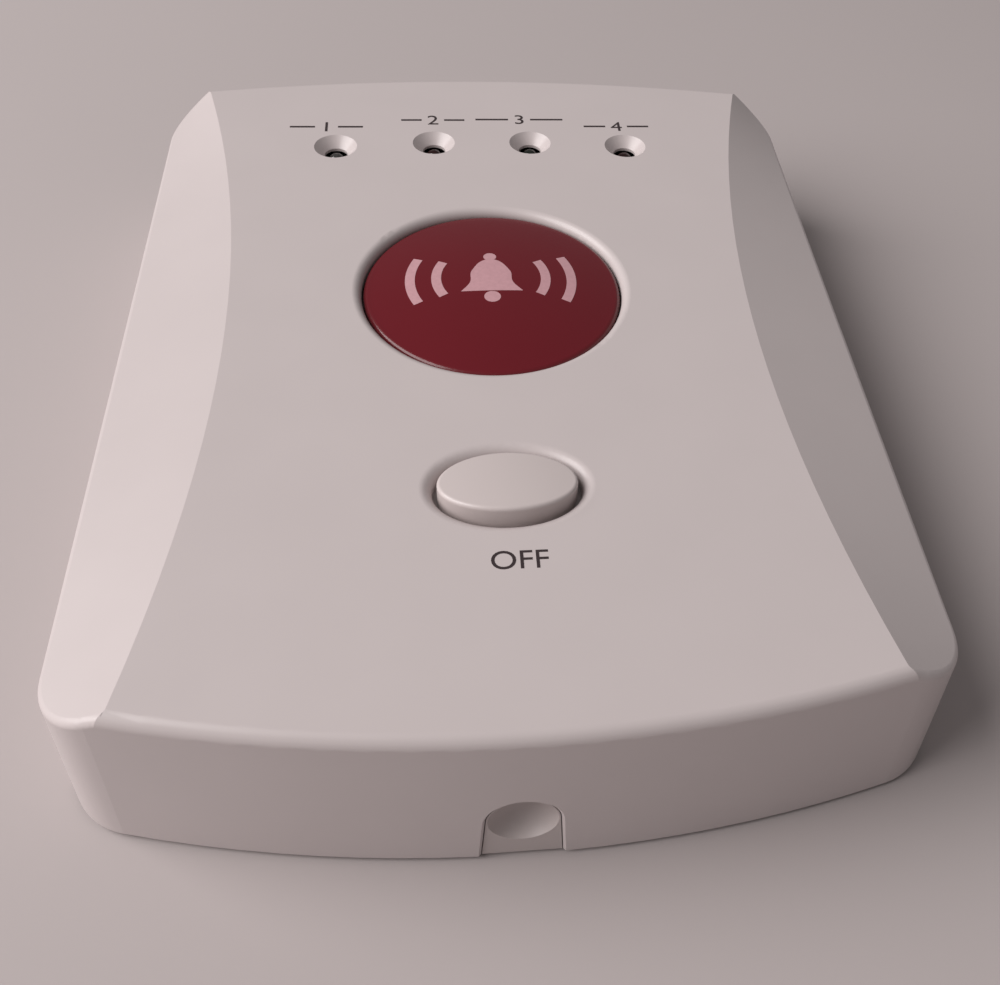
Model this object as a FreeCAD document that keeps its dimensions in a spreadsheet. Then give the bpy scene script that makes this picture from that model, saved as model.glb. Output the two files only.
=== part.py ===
import FreeCAD, Part
import os
import re
import Sketcher
from FreeCAD import Placement, Rotation, Vector

# Desk base station with an emergency call button: a one-piece upper shell, an inset
# base plate and everything between them. Millimetres. X runs across the front, Y runs
# from the front (notch) to the rear, Z is up, and the feet stand on Z = 0.

SIZES = {
    # outer case
    "case_width": 110.0,
    "case_length": 144.0,
    "front_bow": 8.4,          # how far the front wall bulges at the middle
    "rear_bow": 5.4,           # how far the rear wall bulges at the middle
    "corner_round": 9.5,
    "foot_gap": 0.8,           # air under the case edge
    "panel_level": 26.0,       # flat top panel above the table
    "facet_drop": 5.1,         # fall of the side facets from panel to side wall
    "waist_half": 39.0,        # half width of the panel at its narrowest
    "waist_y": -8.9,
    "front_half": 46.9,        # half width of the panel at the front wall
    "rear_half": 49.6,         # half width of the panel at the rear wall
    "shell_wall": 2.2,
    "edge_round": 1.7,         # rolled edge of the panel at both ends
    "facet_round": 1.0,        # soft edge of the side facets
    "fit_gap": 0.3,            # clearance between neighbouring pieces
    # base plate, feet and case screws
    "base_thick": 2.2,
    "foot_radius": 5.0,
    "foot_thick": 2.0,
    "foot_side": 14.0,         # middle of a foot to the side wall
    "foot_end": 23.2,          # middle of a foot to the end of the case
    "case_boss_radius": 3.6,
    "case_boss_side": 10.5,
    "case_boss_end": 13.7,
    "case_screw_radius": 1.4,
    "case_screw_length": 11.0,
    "case_head_radius": 2.8,
    "case_head_depth": 1.4,
    "cross_length": 3.4,       # cross recess of a case screw
    "cross_width": 0.7,
    "cross_depth": 1.0,
    "tight_gap": 0.06,         # clearance of a screw or a boot that grips
    # circuit board
    "board_width": 80.0,
    "board_front_space": 25.2, # board to the front end of the case
    "board_rear_space": 5.2,   # board to the rear end of the case
    "board_cut_x": 12.0,       # corners cut to clear the bowed rear wall
    "board_cut_y": 4.0,
    "board_top": 13.0,
    "board_thick": 1.6,
    "board_screw_side": 4.0,   # board screw to the side of the board
    "board_screw_front": 5.0,  # front screws to the front edge of the board
    "board_screw_rear": 27.0,  # rear screws to the rear edge, clear of the sockets
    "board_screw_radius": 1.0,
    "board_screw_length": 7.0,
    "board_head_radius": 2.3,
    "board_head_height": 1.5,
    "board_boss_radius": 2.8,
    # emergency button
    "sos_radius": 19.7,
    "sos_y": 8.7,
    "sos_sink": 1.0,           # rim of the cap below the panel
    "sos_crown": 1.8,          # rise of its dome above the rim
    "sos_round": 0.9,
    "sos_skin": 1.9,
    "sos_travel": 1.5,
    "sos_gap": 0.25,           # running clearance of the cap in its bore
    "rim_round": 1.4,          # rolled edge of its bore
    "flange_reach": 1.3,       # how far a cap's flange reaches under the panel
    "flange_thick": 1.4,
    "sos_post_radius": 3.0,
    "sos_switch_side": 12.0,
    "sos_switch_height": 4.3,
    "sos_well_floor": 1.5,     # switch body left below its well
    "sos_plunger_radius": 3.4,
    "sos_plunger_rise": 1.3,
    "sos_plunger_travel": 0.35,
    "sos_spring_radius": 9.6,
    "sos_wire": 0.8,
    # oval button
    "oval_half": 9.2,          # half length across the case
    "oval_depth_half": 5.8,
    "oval_y": -33.55,
    "oval_gap": 0.6,
    "oval_rim_round": 1.8,
    "oval_proud": 1.3,         # middle of its top above the panel
    "oval_crown": 0.6,         # fall of its top from the middle to the tips
    "oval_lean": 1.4,          # front edge of its top above the rear edge
    "oval_round": 0.5,
    "oval_skin": 1.4,
    "oval_roof": 1.3,          # skin over its hollow, below the tips of the crown
    "oval_travel": 1.2,
    "oval_post_radius": 1.7,
    "oval_switch_side": 4.5,
    "oval_switch_height": 3.8,
    "oval_well_floor": 1.3,
    "oval_plunger_radius": 1.2,
    "oval_plunger_rise": 1.6,
    "oval_plunger_travel": 0.25,
    "oval_spring_radius": 3.95,
    "oval_wire": 0.45,
    "stop_gap": 0.05,          # air left between post and plunger when fully pressed
    # indicator lamps
    "lamp_pitch": 16.85,
    "lamp_inner_end": 22.6,    # inner lamps to the rear end of the case
    "lamp_outer_end": 23.7,
    "lamp_radius": 1.5,
    "lamp_flange_radius": 1.9,
    "lamp_body": 4.9,
    "lamp_flange_thick": 1.0,
    "lamp_recess": 1.6,        # tip of the lamp below the panel
    "lamp_hole_radius": 1.95,
    "sink_radius": 3.65,       # countersink round each lamp at panel level
    "sink_depth": 1.7,
    "lead_radius": 0.25,
    "lead_half_pitch": 1.2,
    "lead_root": 0.5,          # part of a lead held in the lamp
    # notch in the front wall, closed by a dished tab of the base plate
    "notch_radius": 4.6,
    "notch_level": 8.2,        # centre of the round head
    "notch_foot_half": 5.05,   # half width of the slot at the case edge
    "notch_bevel": 0.4,        # bevelled edge of the slot; the tab lies at its foot
    "notch_gap": 0.12,         # tab to slot
    "dish_radius": 4.3,
    "dish_depth": 2.8,
    "dish_wall": 1.1,
    # rear sockets
    "jack_x": -20.0,
    "jack_width": 9.0,
    "jack_height": 8.0,
    "jack_length": 13.0,
    "jack_bore_radius": 2.95,
    "jack_bore_depth": 9.5,
    "jack_pin_radius": 0.95,
    "jack_pin_recess": 1.6,    # tip of the pin inside the mouth
    "jack_pin_root": 0.6,      # part of the pin held in the block
    "rear_gap": 0.4,           # rear sockets to the inside of the rear wall
    "slider_x": 4.0,
    "slider_width": 12.0,
    "slider_depth": 5.4,
    "slider_height": 5.0,
    "slider_slot_depth": 3.2,
    "knob_width": 4.0,
    "knob_height": 2.6,
    "knob_reach": 4.6,
    "knob_root": 2.2,          # part of the knob inside its slot
    "slider_travel": 3.6,
    "sim_x": 27.0,
    "sim_width": 14.4,
    "sim_length": 16.0,
    "sim_height": 2.6,
    "sim_back": 1.3,           # blind end of the holder behind the card
    "card_width": 12.0,
    "card_length": 15.0,
    "card_thick": 0.8,
    "card_proud": 1.3,         # edge of the card outside its holder
    # battery, speaker and microphone
    "battery_width": 50.0,
    "battery_length": 34.0,
    "battery_thick": 6.0,
    "battery_y": -26.0,
    "battery_round": 1.8,
    "rib_thick": 1.4,
    "rib_height": 4.0,
    "speaker_radius": 18.0,
    "speaker_y": 24.0,
    "speaker_thick": 5.0,
    "speaker_rim": 1.5,        # thickness of the flat rim
    "basket_radius": 16.6,
    "basket_neck_radius": 9.6,
    "cone_radius": 15.3,       # mouth of the hollow in front
    "cone_neck_radius": 4.8,
    "cone_depth": 3.2,
    "magnet_radius": 8.0,
    "magnet_thick": 2.6,
    "gasket_thick": 0.6,
    "grille_length": 21.6,
    "grille_slot": 1.6,
    "grille_pitch": 3.6,
    "mic_radius": 3.0,
    "mic_thick": 2.4,
    "mic_end": 16.0,           # microphone to the front end of the case
    "mic_boot_wall": 1.0,
    # radio parts on the board
    "modem_side": 24.0,
    "modem_height": 2.6,
    "modem_x": -26.0,
    "modem_front": 9.0,        # front side of the module to the front edge of the board
    "radio_width": 13.0,
    "radio_length": 28.0,
    "radio_height": 1.2,
    "radio_x": 28.0,
    "radio_front": 8.5,
    "coil_radius": 2.4,
    "coil_wire": 0.6,
    "coil_length": 15.0,
    "coil_x": 28.0,
    "coil_front": 37.0,
}

doc = FreeCAD.newDocument("base_station")
dims = doc.addObject("Spreadsheet::Sheet", "dims")
for row, (word, number) in enumerate(SIZES.items(), start=1):
    dims.set("A%d" % row, word)
    dims.set("B%d" % row, str(number))
    dims.setAlias("B%d" % row, word)
doc.recompute()


def bind(feature, prop, formula):
    """Tie a property to the sheet; the words of the formula are sheet aliases."""
    tied = re.sub(r"[a-z]+(?:_[a-z]+)+", lambda found: "dims." + found.group(0), formula)
    feature.setExpression(prop, tied)


ZERO = "0 * fit_gap"


def place(feature, x=ZERO, y=ZERO, z=ZERO):
    bind(feature, "Placement.Base.x", x)
    bind(feature, "Placement.Base.y", y)
    bind(feature, "Placement.Base.z", z)
    return feature


def box(name, width, length, height, x=ZERO, y=ZERO, z=ZERO):
    """Block centred on x and y, standing on z."""
    block = doc.addObject("Part::Box", name)
    bind(block, "Length", width)
    bind(block, "Width", length)
    bind(block, "Height", height)
    return place(block, "%s - (%s) / 2" % (x, width), "%s - (%s) / 2" % (y, length), z)


def rod(name, radius, height, x=ZERO, y=ZERO, z=ZERO, along="z"):
    """Cylinder that starts at the point given and runs along +Z or +Y."""
    cylinder = doc.addObject("Part::Cylinder", name)
    bind(cylinder, "Radius", radius)
    bind(cylinder, "Height", height)
    if along == "y":
        cylinder.Placement = Placement(Vector(), Rotation(Vector(1, 0, 0), -90))
    return place(cylinder, x, y, z)


def cone(name, low_radius, high_radius, height, x=ZERO, y=ZERO, z=ZERO, along="z"):
    taper = doc.addObject("Part::Cone", name)
    bind(taper, "Radius1", low_radius)
    bind(taper, "Radius2", high_radius)
    bind(taper, "Height", height)
    if along == "y":
        taper.Placement = Placement(Vector(), Rotation(Vector(1, 0, 0), -90))
    return place(taper, x, y, z)


def fuse(name, *pieces):
    joined = doc.addObject("Part::MultiFuse", name)
    joined.Shapes = list(pieces)
    joined.Refine = True
    return joined


def group(name, *pieces):
    """Separate solids that share one node."""
    together = doc.addObject("Part::Compound", name)
    together.Links = list(pieces)
    return together


def cut(name, base, *tools):
    result = doc.addObject("Part::Cut", name)
    result.Base = base
    result.Tool = tools[0] if len(tools) == 1 else group(name + "_tools", *tools)
    return result


def common(name, *pieces):
    shared = doc.addObject("Part::MultiCommon", name)
    shared.Shapes = list(pieces)
    return shared


def rounded(name, base, radius, wanted):
    """Fillet of every edge of base for which wanted(edge) is true."""
    doc.recompute()
    rolled = doc.addObject("Part::Fillet", name)
    rolled.Base = base
    rolled.Edges = [
        (number, radius, radius)
        for number, edge in enumerate(base.Shape.Edges, start=1)
        if wanted(edge)
    ]
    return rolled


NEAR = 0.1      # how close an edge has to be to a level or a length to be picked by it
EXACT = 0.01


def is_vertical(edge):
    first, last = edge.Vertexes[0].Point, edge.Vertexes[-1].Point
    return abs(first.x - last.x) < EXACT and abs(first.y - last.y) < EXACT and first != last


def origin_plane(body, role):
    for feature in body.Origin.OriginFeatures:
        if feature.Role == role:
            return feature
    raise LookupError(role)


def profile(body, name, role, points, lift=ZERO):
    """Closed outline of straight edges, every corner tied to the sheet."""
    sketch = body.newObject("Sketcher::SketchObject", name)
    sketch.AttachmentSupport = (origin_plane(body, role), [""])
    sketch.MapMode = "FlatFace"
    bind(sketch, "AttachmentOffset.Base.z", lift)
    draw_outline(sketch, points)
    return sketch


FIRST_GUESS = 5.0   # size of an outline before its constraints pull it into place


def draw_outline(sketch, points):
    count = len(points)
    spoke = Vector(FIRST_GUESS, 0, 0)
    ring = [Rotation(Vector(0, 0, 1), 360.0 * i / count).multVec(spoke) for i in range(count)]
    for i in range(count):
        sketch.addGeometry(Part.LineSegment(ring[i], ring[(i + 1) % count]), False)
    for i in range(count):
        sketch.addConstraint(Sketcher.Constraint("Coincident", i, 2, (i + 1) % count, 1))
    for i, (across, along) in enumerate(points):
        for kind, formula in (("DistanceX", across), ("DistanceY", along)):
            number = sketch.addConstraint(Sketcher.Constraint(kind, -1, 1, i, 1, 1.0))
            bind(sketch, "Constraints[%d]" % number, formula)


def turned(label, points, x=ZERO, y=ZERO, z=ZERO):
    """Body of revolution about its own Z axis from an outline of radius and height."""
    body = doc.addObject("PartDesign::Body", label)
    outline = profile(body, label + "_outline", "XZ_Plane", points)
    spin = body.newObject("PartDesign::Revolution", label + "_turn")
    spin.Profile = outline
    spin.ReferenceAxis = (outline, ["V_Axis"])
    spin.Angle = 360
    return place(body, x, y, z)


def slab(label, points, thickness, lift):
    """Body made by padding one straight-edged outline."""
    body = doc.addObject("PartDesign::Body", label)
    outline = profile(body, label + "_outline", "XY_Plane", points, lift)
    pad = body.newObject("PartDesign::Pad", label + "_pad")
    pad.Profile = outline
    bind(pad, "Length", thickness)
    return body


def rectangle(width, length, x=ZERO, y=ZERO):
    return [
        ("%s - (%s) / 2" % (x, width), "%s - (%s) / 2" % (y, length)),
        ("%s + (%s) / 2" % (x, width), "%s - (%s) / 2" % (y, length)),
        ("%s + (%s) / 2" % (x, width), "%s + (%s) / 2" % (y, length)),
        ("%s - (%s) / 2" % (x, width), "%s + (%s) / 2" % (y, length)),
    ]


# Plan of the case and its facets

def bow_radius(bow):
    """Radius of an end wall that bulges by bow over the width of the case."""
    return "(case_width * case_width / 4 + {0} * {0}) / (2 * {0})".format(bow)


FRONT_RADIUS = bow_radius("front_bow")
FRONT_CENTRE = "%s - case_length / 2" % FRONT_RADIUS
REAR_RADIUS = bow_radius("rear_bow")
REAR_CENTRE = "case_length / 2 - %s" % REAR_RADIUS


def bowed_block(name, inset, low, height):
    """Plan of the case, drawn in by inset: straight sides and bowed ends."""
    width = "case_width - 2 * (%s)" % inset
    length = "case_length - 2 * (%s)" % inset
    bounds = box(name + "_box", width, length, height, z=low)
    front = rod(name + "_front", "%s - (%s)" % (FRONT_RADIUS, inset), height, y=FRONT_CENTRE, z=low)
    rear = rod(name + "_rear", "%s - (%s)" % (REAR_RADIUS, inset), height, y=REAR_CENTRE, z=low)
    sharp = common(name + "_sharp", bounds, front, rear)
    doc.recompute()
    drawn_in = (SIZES["case_width"] - bounds.Length.Value) / 2
    return rounded(name, sharp, SIZES["corner_round"] - drawn_in, is_vertical)


def rolled_drum(name, radius, centre):
    """Drum that bounds one end of the case, its rim rolled over onto the panel."""
    drum = rod(name + "_drum", radius, "panel_level - foot_gap", y=centre, z="foot_gap")
    return rounded(name, drum, SIZES["edge_round"], on_panel_level)


def upright_outline(name, station, points):
    """Straight-edged outline in a plane across the case."""
    sketch = doc.addObject("Sketcher::SketchObject", name)
    sketch.Placement = Placement(Vector(), Rotation(Vector(1, 0, 0), 90))
    bind(sketch, "Placement.Base.y", station)
    draw_outline(sketch, points)
    return sketch


def facet_tool(name, lower, side):
    """Wedge above one side facet, lofted through the front, the waist and the rear."""
    sections = []
    stations = (
        ("front_half", "-case_length / 2"),
        ("waist_half", "waist_y"),
        ("rear_half", "case_length / 2"),
    )
    for number, (half, station) in enumerate(stations):
        spare = "(case_width / 2 - %s) / 2" % half
        inner = "%s - %s" % (half, spare)
        outer = "case_width / 2 + %s" % spare
        high = "panel_level - (%s) + facet_drop / 2" % lower
        low = "panel_level - (%s) - 3 * facet_drop / 2" % lower
        sections.append(upright_outline("%s_section_%d" % (name, number), station, [
            ("%d * (%s)" % (side, inner), high),
            ("%d * (%s)" % (side, outer), low),
            ("%d * (%s)" % (side, outer), high),
        ]))
    loft = doc.addObject("Part::Loft", name)
    loft.Sections = sections
    loft.Solid = True
    return loft


def case_form(name, inset, lower, low, height):
    block = bowed_block(name + "_block", inset, low, height)
    left = facet_tool(name + "_left_facet", lower, -1)
    right = facet_tool(name + "_right_facet", lower, 1)
    return cut(name, block, left, right)


# Upper shell

BASE_TOP = "foot_gap + base_thick"
CEILING = "panel_level - shell_wall"
BELOW_CEILING = "panel_level - 2 * shell_wall"
THROUGH = "3 * shell_wall"    # height of a tool that starts below the ceiling and clears the panel
BOARD_UNDER = "board_top - board_thick"
LAMP_PLACES = [
    ("led_status", "-3 * lamp_pitch / 2", "case_length / 2 - lamp_outer_end"),
    ("led_power", "-lamp_pitch / 2", "case_length / 2 - lamp_inner_end"),
    ("led_monitor", "lamp_pitch / 2", "case_length / 2 - lamp_inner_end"),
    ("led_alarm", "3 * lamp_pitch / 2", "case_length / 2 - lamp_outer_end"),
]
BOARD_FRONT = "board_front_space - case_length / 2"
BOARD_REAR = "case_length / 2 - board_rear_space"
MIC_Y = "mic_end - case_length / 2"


def four_corners(side, end):
    """Four places, one near each corner of the case."""
    x = "(case_width / 2 - %s)" % side
    y = "(case_length / 2 - %s)" % end
    return [("%d * %s" % (across, x), "%d * %s" % (along, y)) for across in (-1, 1) for along in (-1, 1)]


CASE_SCREW_PLACES = four_corners("case_boss_side", "case_boss_end")
FOOT_PLACES = four_corners("foot_side", "foot_end")
BOARD_SCREW_PLACES = [
    ("%d * (board_width / 2 - board_screw_side)" % across, along)
    for across in (-1, 1)
    for along in (BOARD_FRONT + " + board_screw_front", BOARD_REAR + " - board_screw_rear")
]


def ellipse_block(name, half_x, half_y, low, height, y):
    curve = doc.addObject("Part::Ellipse", name + "_curve")
    bind(curve, "MajorRadius", half_x)
    bind(curve, "MinorRadius", half_y)
    place(curve, y=y, z=low)
    block = doc.addObject("Part::Extrusion", name)
    block.Base = curve
    block.DirMode = "Custom"
    block.Dir = Vector(0, 0, 1)
    block.Solid = True
    bind(block, "LengthFwd", height)
    return block


def on_facet_rim(edge):
    """Outer edges of the side facets; the top, the creases and the upright edges are left out."""
    lowest_facet = SIZES["panel_level"] - SIZES["facet_drop"]
    return lowest_facet - NEAR < edge.BoundBox.ZMin < SIZES["panel_level"]


def on_panel_level(edge):
    return abs(edge.BoundBox.ZMin - SIZES["panel_level"]) < NEAR


def wall_rear(x):
    """Y of the inside of the rear wall at one x."""
    radius = "(%s - shell_wall)" % REAR_RADIUS
    return "sqrt(%s * %s - (%s) * (%s)) + %s" % (radius, radius, x, x, REAR_CENTRE)


TALL = "panel_level + facet_drop / 3 - foot_gap"   # the form is trimmed to the panel by the drums


def upper_shell():
    outer = case_form("outer_form", ZERO, ZERO, "foot_gap", TALL)
    soft_sides = rounded("soft_sides", outer, SIZES["facet_round"], on_facet_rim)
    soft_front = rolled_drum("soft_front", FRONT_RADIUS, FRONT_CENTRE)
    soft_rear = rolled_drum("soft_rear", REAR_RADIUS, REAR_CENTRE)
    soft = common("soft_form", soft_sides, soft_front, soft_rear)
    inner = case_form("inner_form", "shell_wall", "shell_wall", "-foot_gap", CEILING + " + foot_gap")
    hollow = cut("hollow_form", soft, inner)
    bosses = common("bosses", group("tall_pillars", *pillars()), soft)
    joined = fuse("shell_with_bosses", hollow, bosses)

    bore = rod("sos_bore", "sos_radius + sos_gap", THROUGH, y="sos_y", z=BELOW_CEILING)
    oval = ellipse_block("oval_bore", "oval_half + oval_gap", "oval_depth_half + oval_gap",
                         BELOW_CEILING, THROUGH, "oval_y")
    bored = cut("bored_shell", joined, bore, oval)
    round_rim = rounded("round_rim_shell", bored, SIZES["rim_round"], on_rim_of("sos_radius", "sos_gap"))
    rims = rounded("rimmed_shell", round_rim, SIZES["oval_rim_round"], on_rim_of("oval_half", "oval_gap"))
    return cut("top_housing", rims, *lamp_ways(), *notch_slot(), *rear_windows(), *pilot_holes())


def pillars():
    """Screw pillars, tall enough to run into the panel from below."""
    made = []
    for number, (x, y) in enumerate(CASE_SCREW_PLACES):
        made.append(rod("case_boss_%d" % number, "case_boss_radius", "panel_level", x, y, BASE_TOP))
    for number, (x, y) in enumerate(BOARD_SCREW_PLACES):
        made.append(rod("board_boss_%d" % number, "board_boss_radius", "panel_level", x, y, "board_top"))
    return made


def pilot_holes():
    holes = []
    for number, (x, y) in enumerate(CASE_SCREW_PLACES):
        holes.append(rod("case_pilot_%d" % number, "case_screw_radius + tight_gap",
                         "case_screw_length", x, y, "foot_gap"))
    for number, (x, y) in enumerate(BOARD_SCREW_PLACES):
        holes.append(rod("board_pilot_%d" % number, "board_screw_radius + tight_gap",
                         "board_screw_length", x, y, BOARD_UNDER))
    return holes


def lamp_ways():
    """A hole with a countersink over each lamp."""
    ways = []
    for label, x, y in LAMP_PLACES:
        ways.append(rod(label + "_hole", "lamp_hole_radius", THROUGH, x, y, BELOW_CEILING))
        ways.append(cone(label + "_sink", "lamp_hole_radius", "sink_radius", "sink_depth",
                         x, y, "panel_level - sink_depth"))
    return ways


def on_rim_of(half, gap):
    """Picks the top edge of the button bore with that half width and gap."""
    width = 2 * (SIZES[half] + SIZES[gap])

    def picked(edge):
        bounds = edge.BoundBox
        level = abs(bounds.ZMin - SIZES["panel_level"]) < EXACT and bounds.ZLength < EXACT
        return level and abs(bounds.XLength - width) < NEAR

    return picked


def notch_corners(spread):
    """Flared sides of the slot below its round head, moved outwards by spread."""
    foot, head = "(notch_foot_half + %s)" % spread, "(notch_radius + %s)" % spread
    return [
        ("-" + foot, "foot_gap"),
        (foot, "foot_gap"),
        (head, "notch_level"),
        ("-" + head, "notch_level"),
    ]


def pushed_back(name, outline, length):
    """Solid made by pushing an upright outline towards the rear."""
    solid = doc.addObject("Part::Extrusion", name)
    solid.Base = outline
    solid.DirMode = "Custom"
    solid.Dir = Vector(0, 1, 0)
    solid.Solid = True
    bind(solid, "LengthFwd", length)
    return solid


def notch_slot():
    """Slot in the front wall: a round head over flared sides, with a bevelled outer edge."""
    front = "-case_length / 2 - shell_wall"
    head = rod("notch_head", "notch_radius", THROUGH, y=front, z="notch_level", along="y")
    sides = pushed_back("notch_sides", upright_outline("notch_flare", front, notch_corners(ZERO)), THROUGH)
    near, far = "-case_length / 2 - notch_bevel", "-case_length / 2 + notch_bevel"
    ring = cone("notch_ring", "notch_radius + 2 * notch_bevel", "notch_radius", "2 * notch_bevel",
                y=near, z="notch_level", along="y")
    edges = doc.addObject("Part::Loft", "notch_edges")
    edges.Sections = [
        upright_outline("notch_edge_near", near, notch_corners("2 * notch_bevel")),
        upright_outline("notch_edge_far", far, notch_corners(ZERO)),
    ]
    edges.Solid = True
    return head, sides, ring, edges


KNOB_WAY = "knob_width + slider_travel + 2 * fit_gap"
KNOB_LOW = "board_top + (slider_height - knob_height) / 2"
CARD_LOW = "board_top + (sim_height - card_thick) / 2"


def rear_windows():
    """Openings of the rear wall for the supply plug, the slider and the card."""
    start, reach = "case_length / 2 - 3 * shell_wall", "4 * shell_wall"
    plug = rod("plug_window", "jack_bore_radius + fit_gap", reach, "jack_x", start,
               "board_top + jack_height / 2", along="y")
    knob = box("knob_window", KNOB_WAY, "2 * (%s)" % reach, "knob_height + 2 * fit_gap",
               "slider_x", "case_length / 2", KNOB_LOW + " - fit_gap")
    card = box("card_window", "card_width + 2 * fit_gap", "2 * (%s)" % reach, "card_thick + 2 * fit_gap",
               "sim_x", "case_length / 2", CARD_LOW + " - fit_gap")
    return plug, knob, card


# Base plate, feet and case screws

GRILLE_STEPS = range(-3, 4)   # seven slots


def base_plate():
    plate = bowed_block("plate_block", "shell_wall + fit_gap", "foot_gap", "base_thick")
    solid = fuse("plate_with_ribs", plate, speaker_ring(), mic_ring(), *notch_tab(), *battery_ribs())
    return cut("bottom_housing", solid, *base_ways(), *grille(), notch_dish())


def battery_ribs():
    """Two side ribs and two end stops round the battery."""
    ribs = []
    aside = "battery_width / 2 + fit_gap + rib_thick / 2"
    ahead = "battery_length / 2 + fit_gap + rib_thick / 2"
    for number, sign in enumerate((-1, 1)):
        ribs.append(box("battery_rib_%d" % number, "rib_thick", "battery_length", "rib_height",
                        "%d * (%s)" % (sign, aside), "battery_y", BASE_TOP))
        ribs.append(box("battery_stop_%d" % number, "battery_width / 2", "rib_thick", "rib_height",
                        ZERO, "battery_y + %d * (%s)" % (sign, ahead), BASE_TOP))
    return ribs


def speaker_ring():
    hole = "speaker_radius + fit_gap"
    outer = rod("speaker_ring_out", hole + " + rib_thick", "rib_height", y="speaker_y", z=BASE_TOP)
    inner = rod("speaker_ring_in", hole, "2 * rib_height", y="speaker_y", z="foot_gap")
    return cut("speaker_ring", outer, inner)


def mic_ring():
    hole = "mic_radius + 2 * fit_gap + mic_boot_wall"
    outer = rod("mic_ring_out", hole + " + mic_boot_wall", "mic_thick", y=MIC_Y, z=BASE_TOP)
    inner = rod("mic_ring_in", hole, "3 * mic_thick", y=MIC_Y, z="foot_gap")
    return cut("mic_ring", outer, inner)


HEAD_SEAT = "foot_gap + case_head_depth"   # level where the heads of the case screws bear


def base_ways():
    """Ways for the case screws and their heads, and seats for the feet."""
    ways = []
    for number, (x, y) in enumerate(CASE_SCREW_PLACES):
        ways.append(rod("screw_way_%d" % number, "case_screw_radius + fit_gap", "2 * base_thick", x, y))
        ways.append(rod("head_way_%d" % number, "case_head_radius + fit_gap", HEAD_SEAT, x, y))
    for number, (x, y) in enumerate(FOOT_PLACES):
        ways.append(rod("foot_way_%d" % number, "foot_radius + fit_gap / 2", "foot_thick", x, y))
    return ways


def grille():
    """Slots below the speaker and a small hole below the microphone."""
    slots = [
        box("grille_slot_%d" % number, "grille_length", "grille_slot", "4 * base_thick",
            y="speaker_y + %d * grille_pitch" % step, z="-base_thick")
        for number, step in enumerate(GRILLE_STEPS)
    ]
    return slots + [rod("mic_way", "grille_slot / 2", "4 * base_thick", y=MIC_Y, z="-base_thick")]


def feet():
    discs = [rod("foot_%d" % number, "foot_radius", "foot_thick", x, y)
             for number, (x, y) in enumerate(FOOT_PLACES)]
    return group("rubber_feet", *discs)


def case_screws():
    screws = []
    arms_of_cross = (("long", "cross_length", "cross_width"), ("wide", "cross_width", "cross_length"))
    cross_low = "foot_gap + fit_gap - case_head_depth + cross_depth"
    for number, (x, y) in enumerate(CASE_SCREW_PLACES):
        head = rod("case_head_%d" % number, "case_head_radius", "case_head_depth - fit_gap",
                   x, y, "foot_gap + fit_gap")
        shank = rod("case_shank_%d" % number, "case_screw_radius",
                    "case_screw_length - case_head_depth - fit_gap", x, y, HEAD_SEAT)
        arms = [
            box("%s_cross_%d" % (name, number), width, length, "case_head_depth", x, y, cross_low)
            for name, width, length in arms_of_cross
        ]
        screws.append(cut("case_screw_%d" % number, fuse("case_blank_%d" % number, head, shank), *arms))
    return group("case_screws", *screws)


NOTCH_FACE = "-case_length / 2 + notch_bevel"
NOTCH_BACK = "-case_length / 2 + shell_wall + fit_gap"


def notch_tab():
    """Tab that fills the slot, with the blind cup of its dish behind the wall."""
    length = "shell_wall + fit_gap - notch_bevel + dish_wall"
    flare = upright_outline("tab_flare", NOTCH_FACE, notch_corners("-notch_gap"))
    sides = pushed_back("notch_tab", flare, length)
    head = rod("tab_head", "notch_radius - notch_gap", length, y=NOTCH_FACE, z="notch_level", along="y")
    cup_radius = "dish_radius + dish_wall"
    cup_length = "%s + dish_depth + dish_wall - (%s)" % (NOTCH_FACE, NOTCH_BACK)
    cup = rod("dish_cup", cup_radius, cup_length, y=NOTCH_BACK, z="notch_level", along="y")
    skirt = box("dish_skirt", "2 * (%s)" % cup_radius, cup_length, "notch_level - foot_gap",
                y="%s + (%s) / 2" % (NOTCH_BACK, cup_length), z="foot_gap")
    return sides, head, cup, skirt


def notch_dish():
    """Ball that leaves a hollow of that radius and depth in the face of the tab."""
    ball = doc.addObject("Part::Sphere", "notch_dish")
    radius = "(dish_radius * dish_radius + dish_depth * dish_depth) / (2 * dish_depth)"
    bind(ball, "Radius", radius)
    return place(ball, y="%s + dish_depth - %s" % (NOTCH_FACE, radius), z="notch_level")


# Circuit board and what stands on it

def board_corners():
    """Front corners square, rear corners cut, seen from above and running anticlockwise."""
    return [
        ("-board_width / 2", BOARD_FRONT),
        ("board_width / 2", BOARD_FRONT),
        ("board_width / 2", BOARD_REAR + " - board_cut_y"),
        ("board_width / 2 - board_cut_x", BOARD_REAR),
        ("-board_width / 2 + board_cut_x", BOARD_REAR),
        ("-board_width / 2", BOARD_REAR + " - board_cut_y"),
    ]


def main_board():
    board = doc.addObject("PartDesign::Body", "main_board")
    outline = profile(board, "board_outline", "XY_Plane", board_corners(), BOARD_UNDER)
    pad = board.newObject("PartDesign::Pad", "board_pad")
    pad.Profile = outline
    bind(pad, "Length", "board_thick")
    holes = board.newObject("Sketcher::SketchObject", "board_holes")
    holes.AttachmentSupport = (origin_plane(board, "XY_Plane"), [""])
    holes.MapMode = "FlatFace"
    bind(holes, "AttachmentOffset.Base.z", "board_top")
    draw_circles(holes, BOARD_SCREW_PLACES, "board_screw_radius + fit_gap")
    pocket = board.newObject("PartDesign::Pocket", "board_drill")
    pocket.Profile = holes
    bind(pocket, "Length", "2 * board_thick")
    return board


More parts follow.
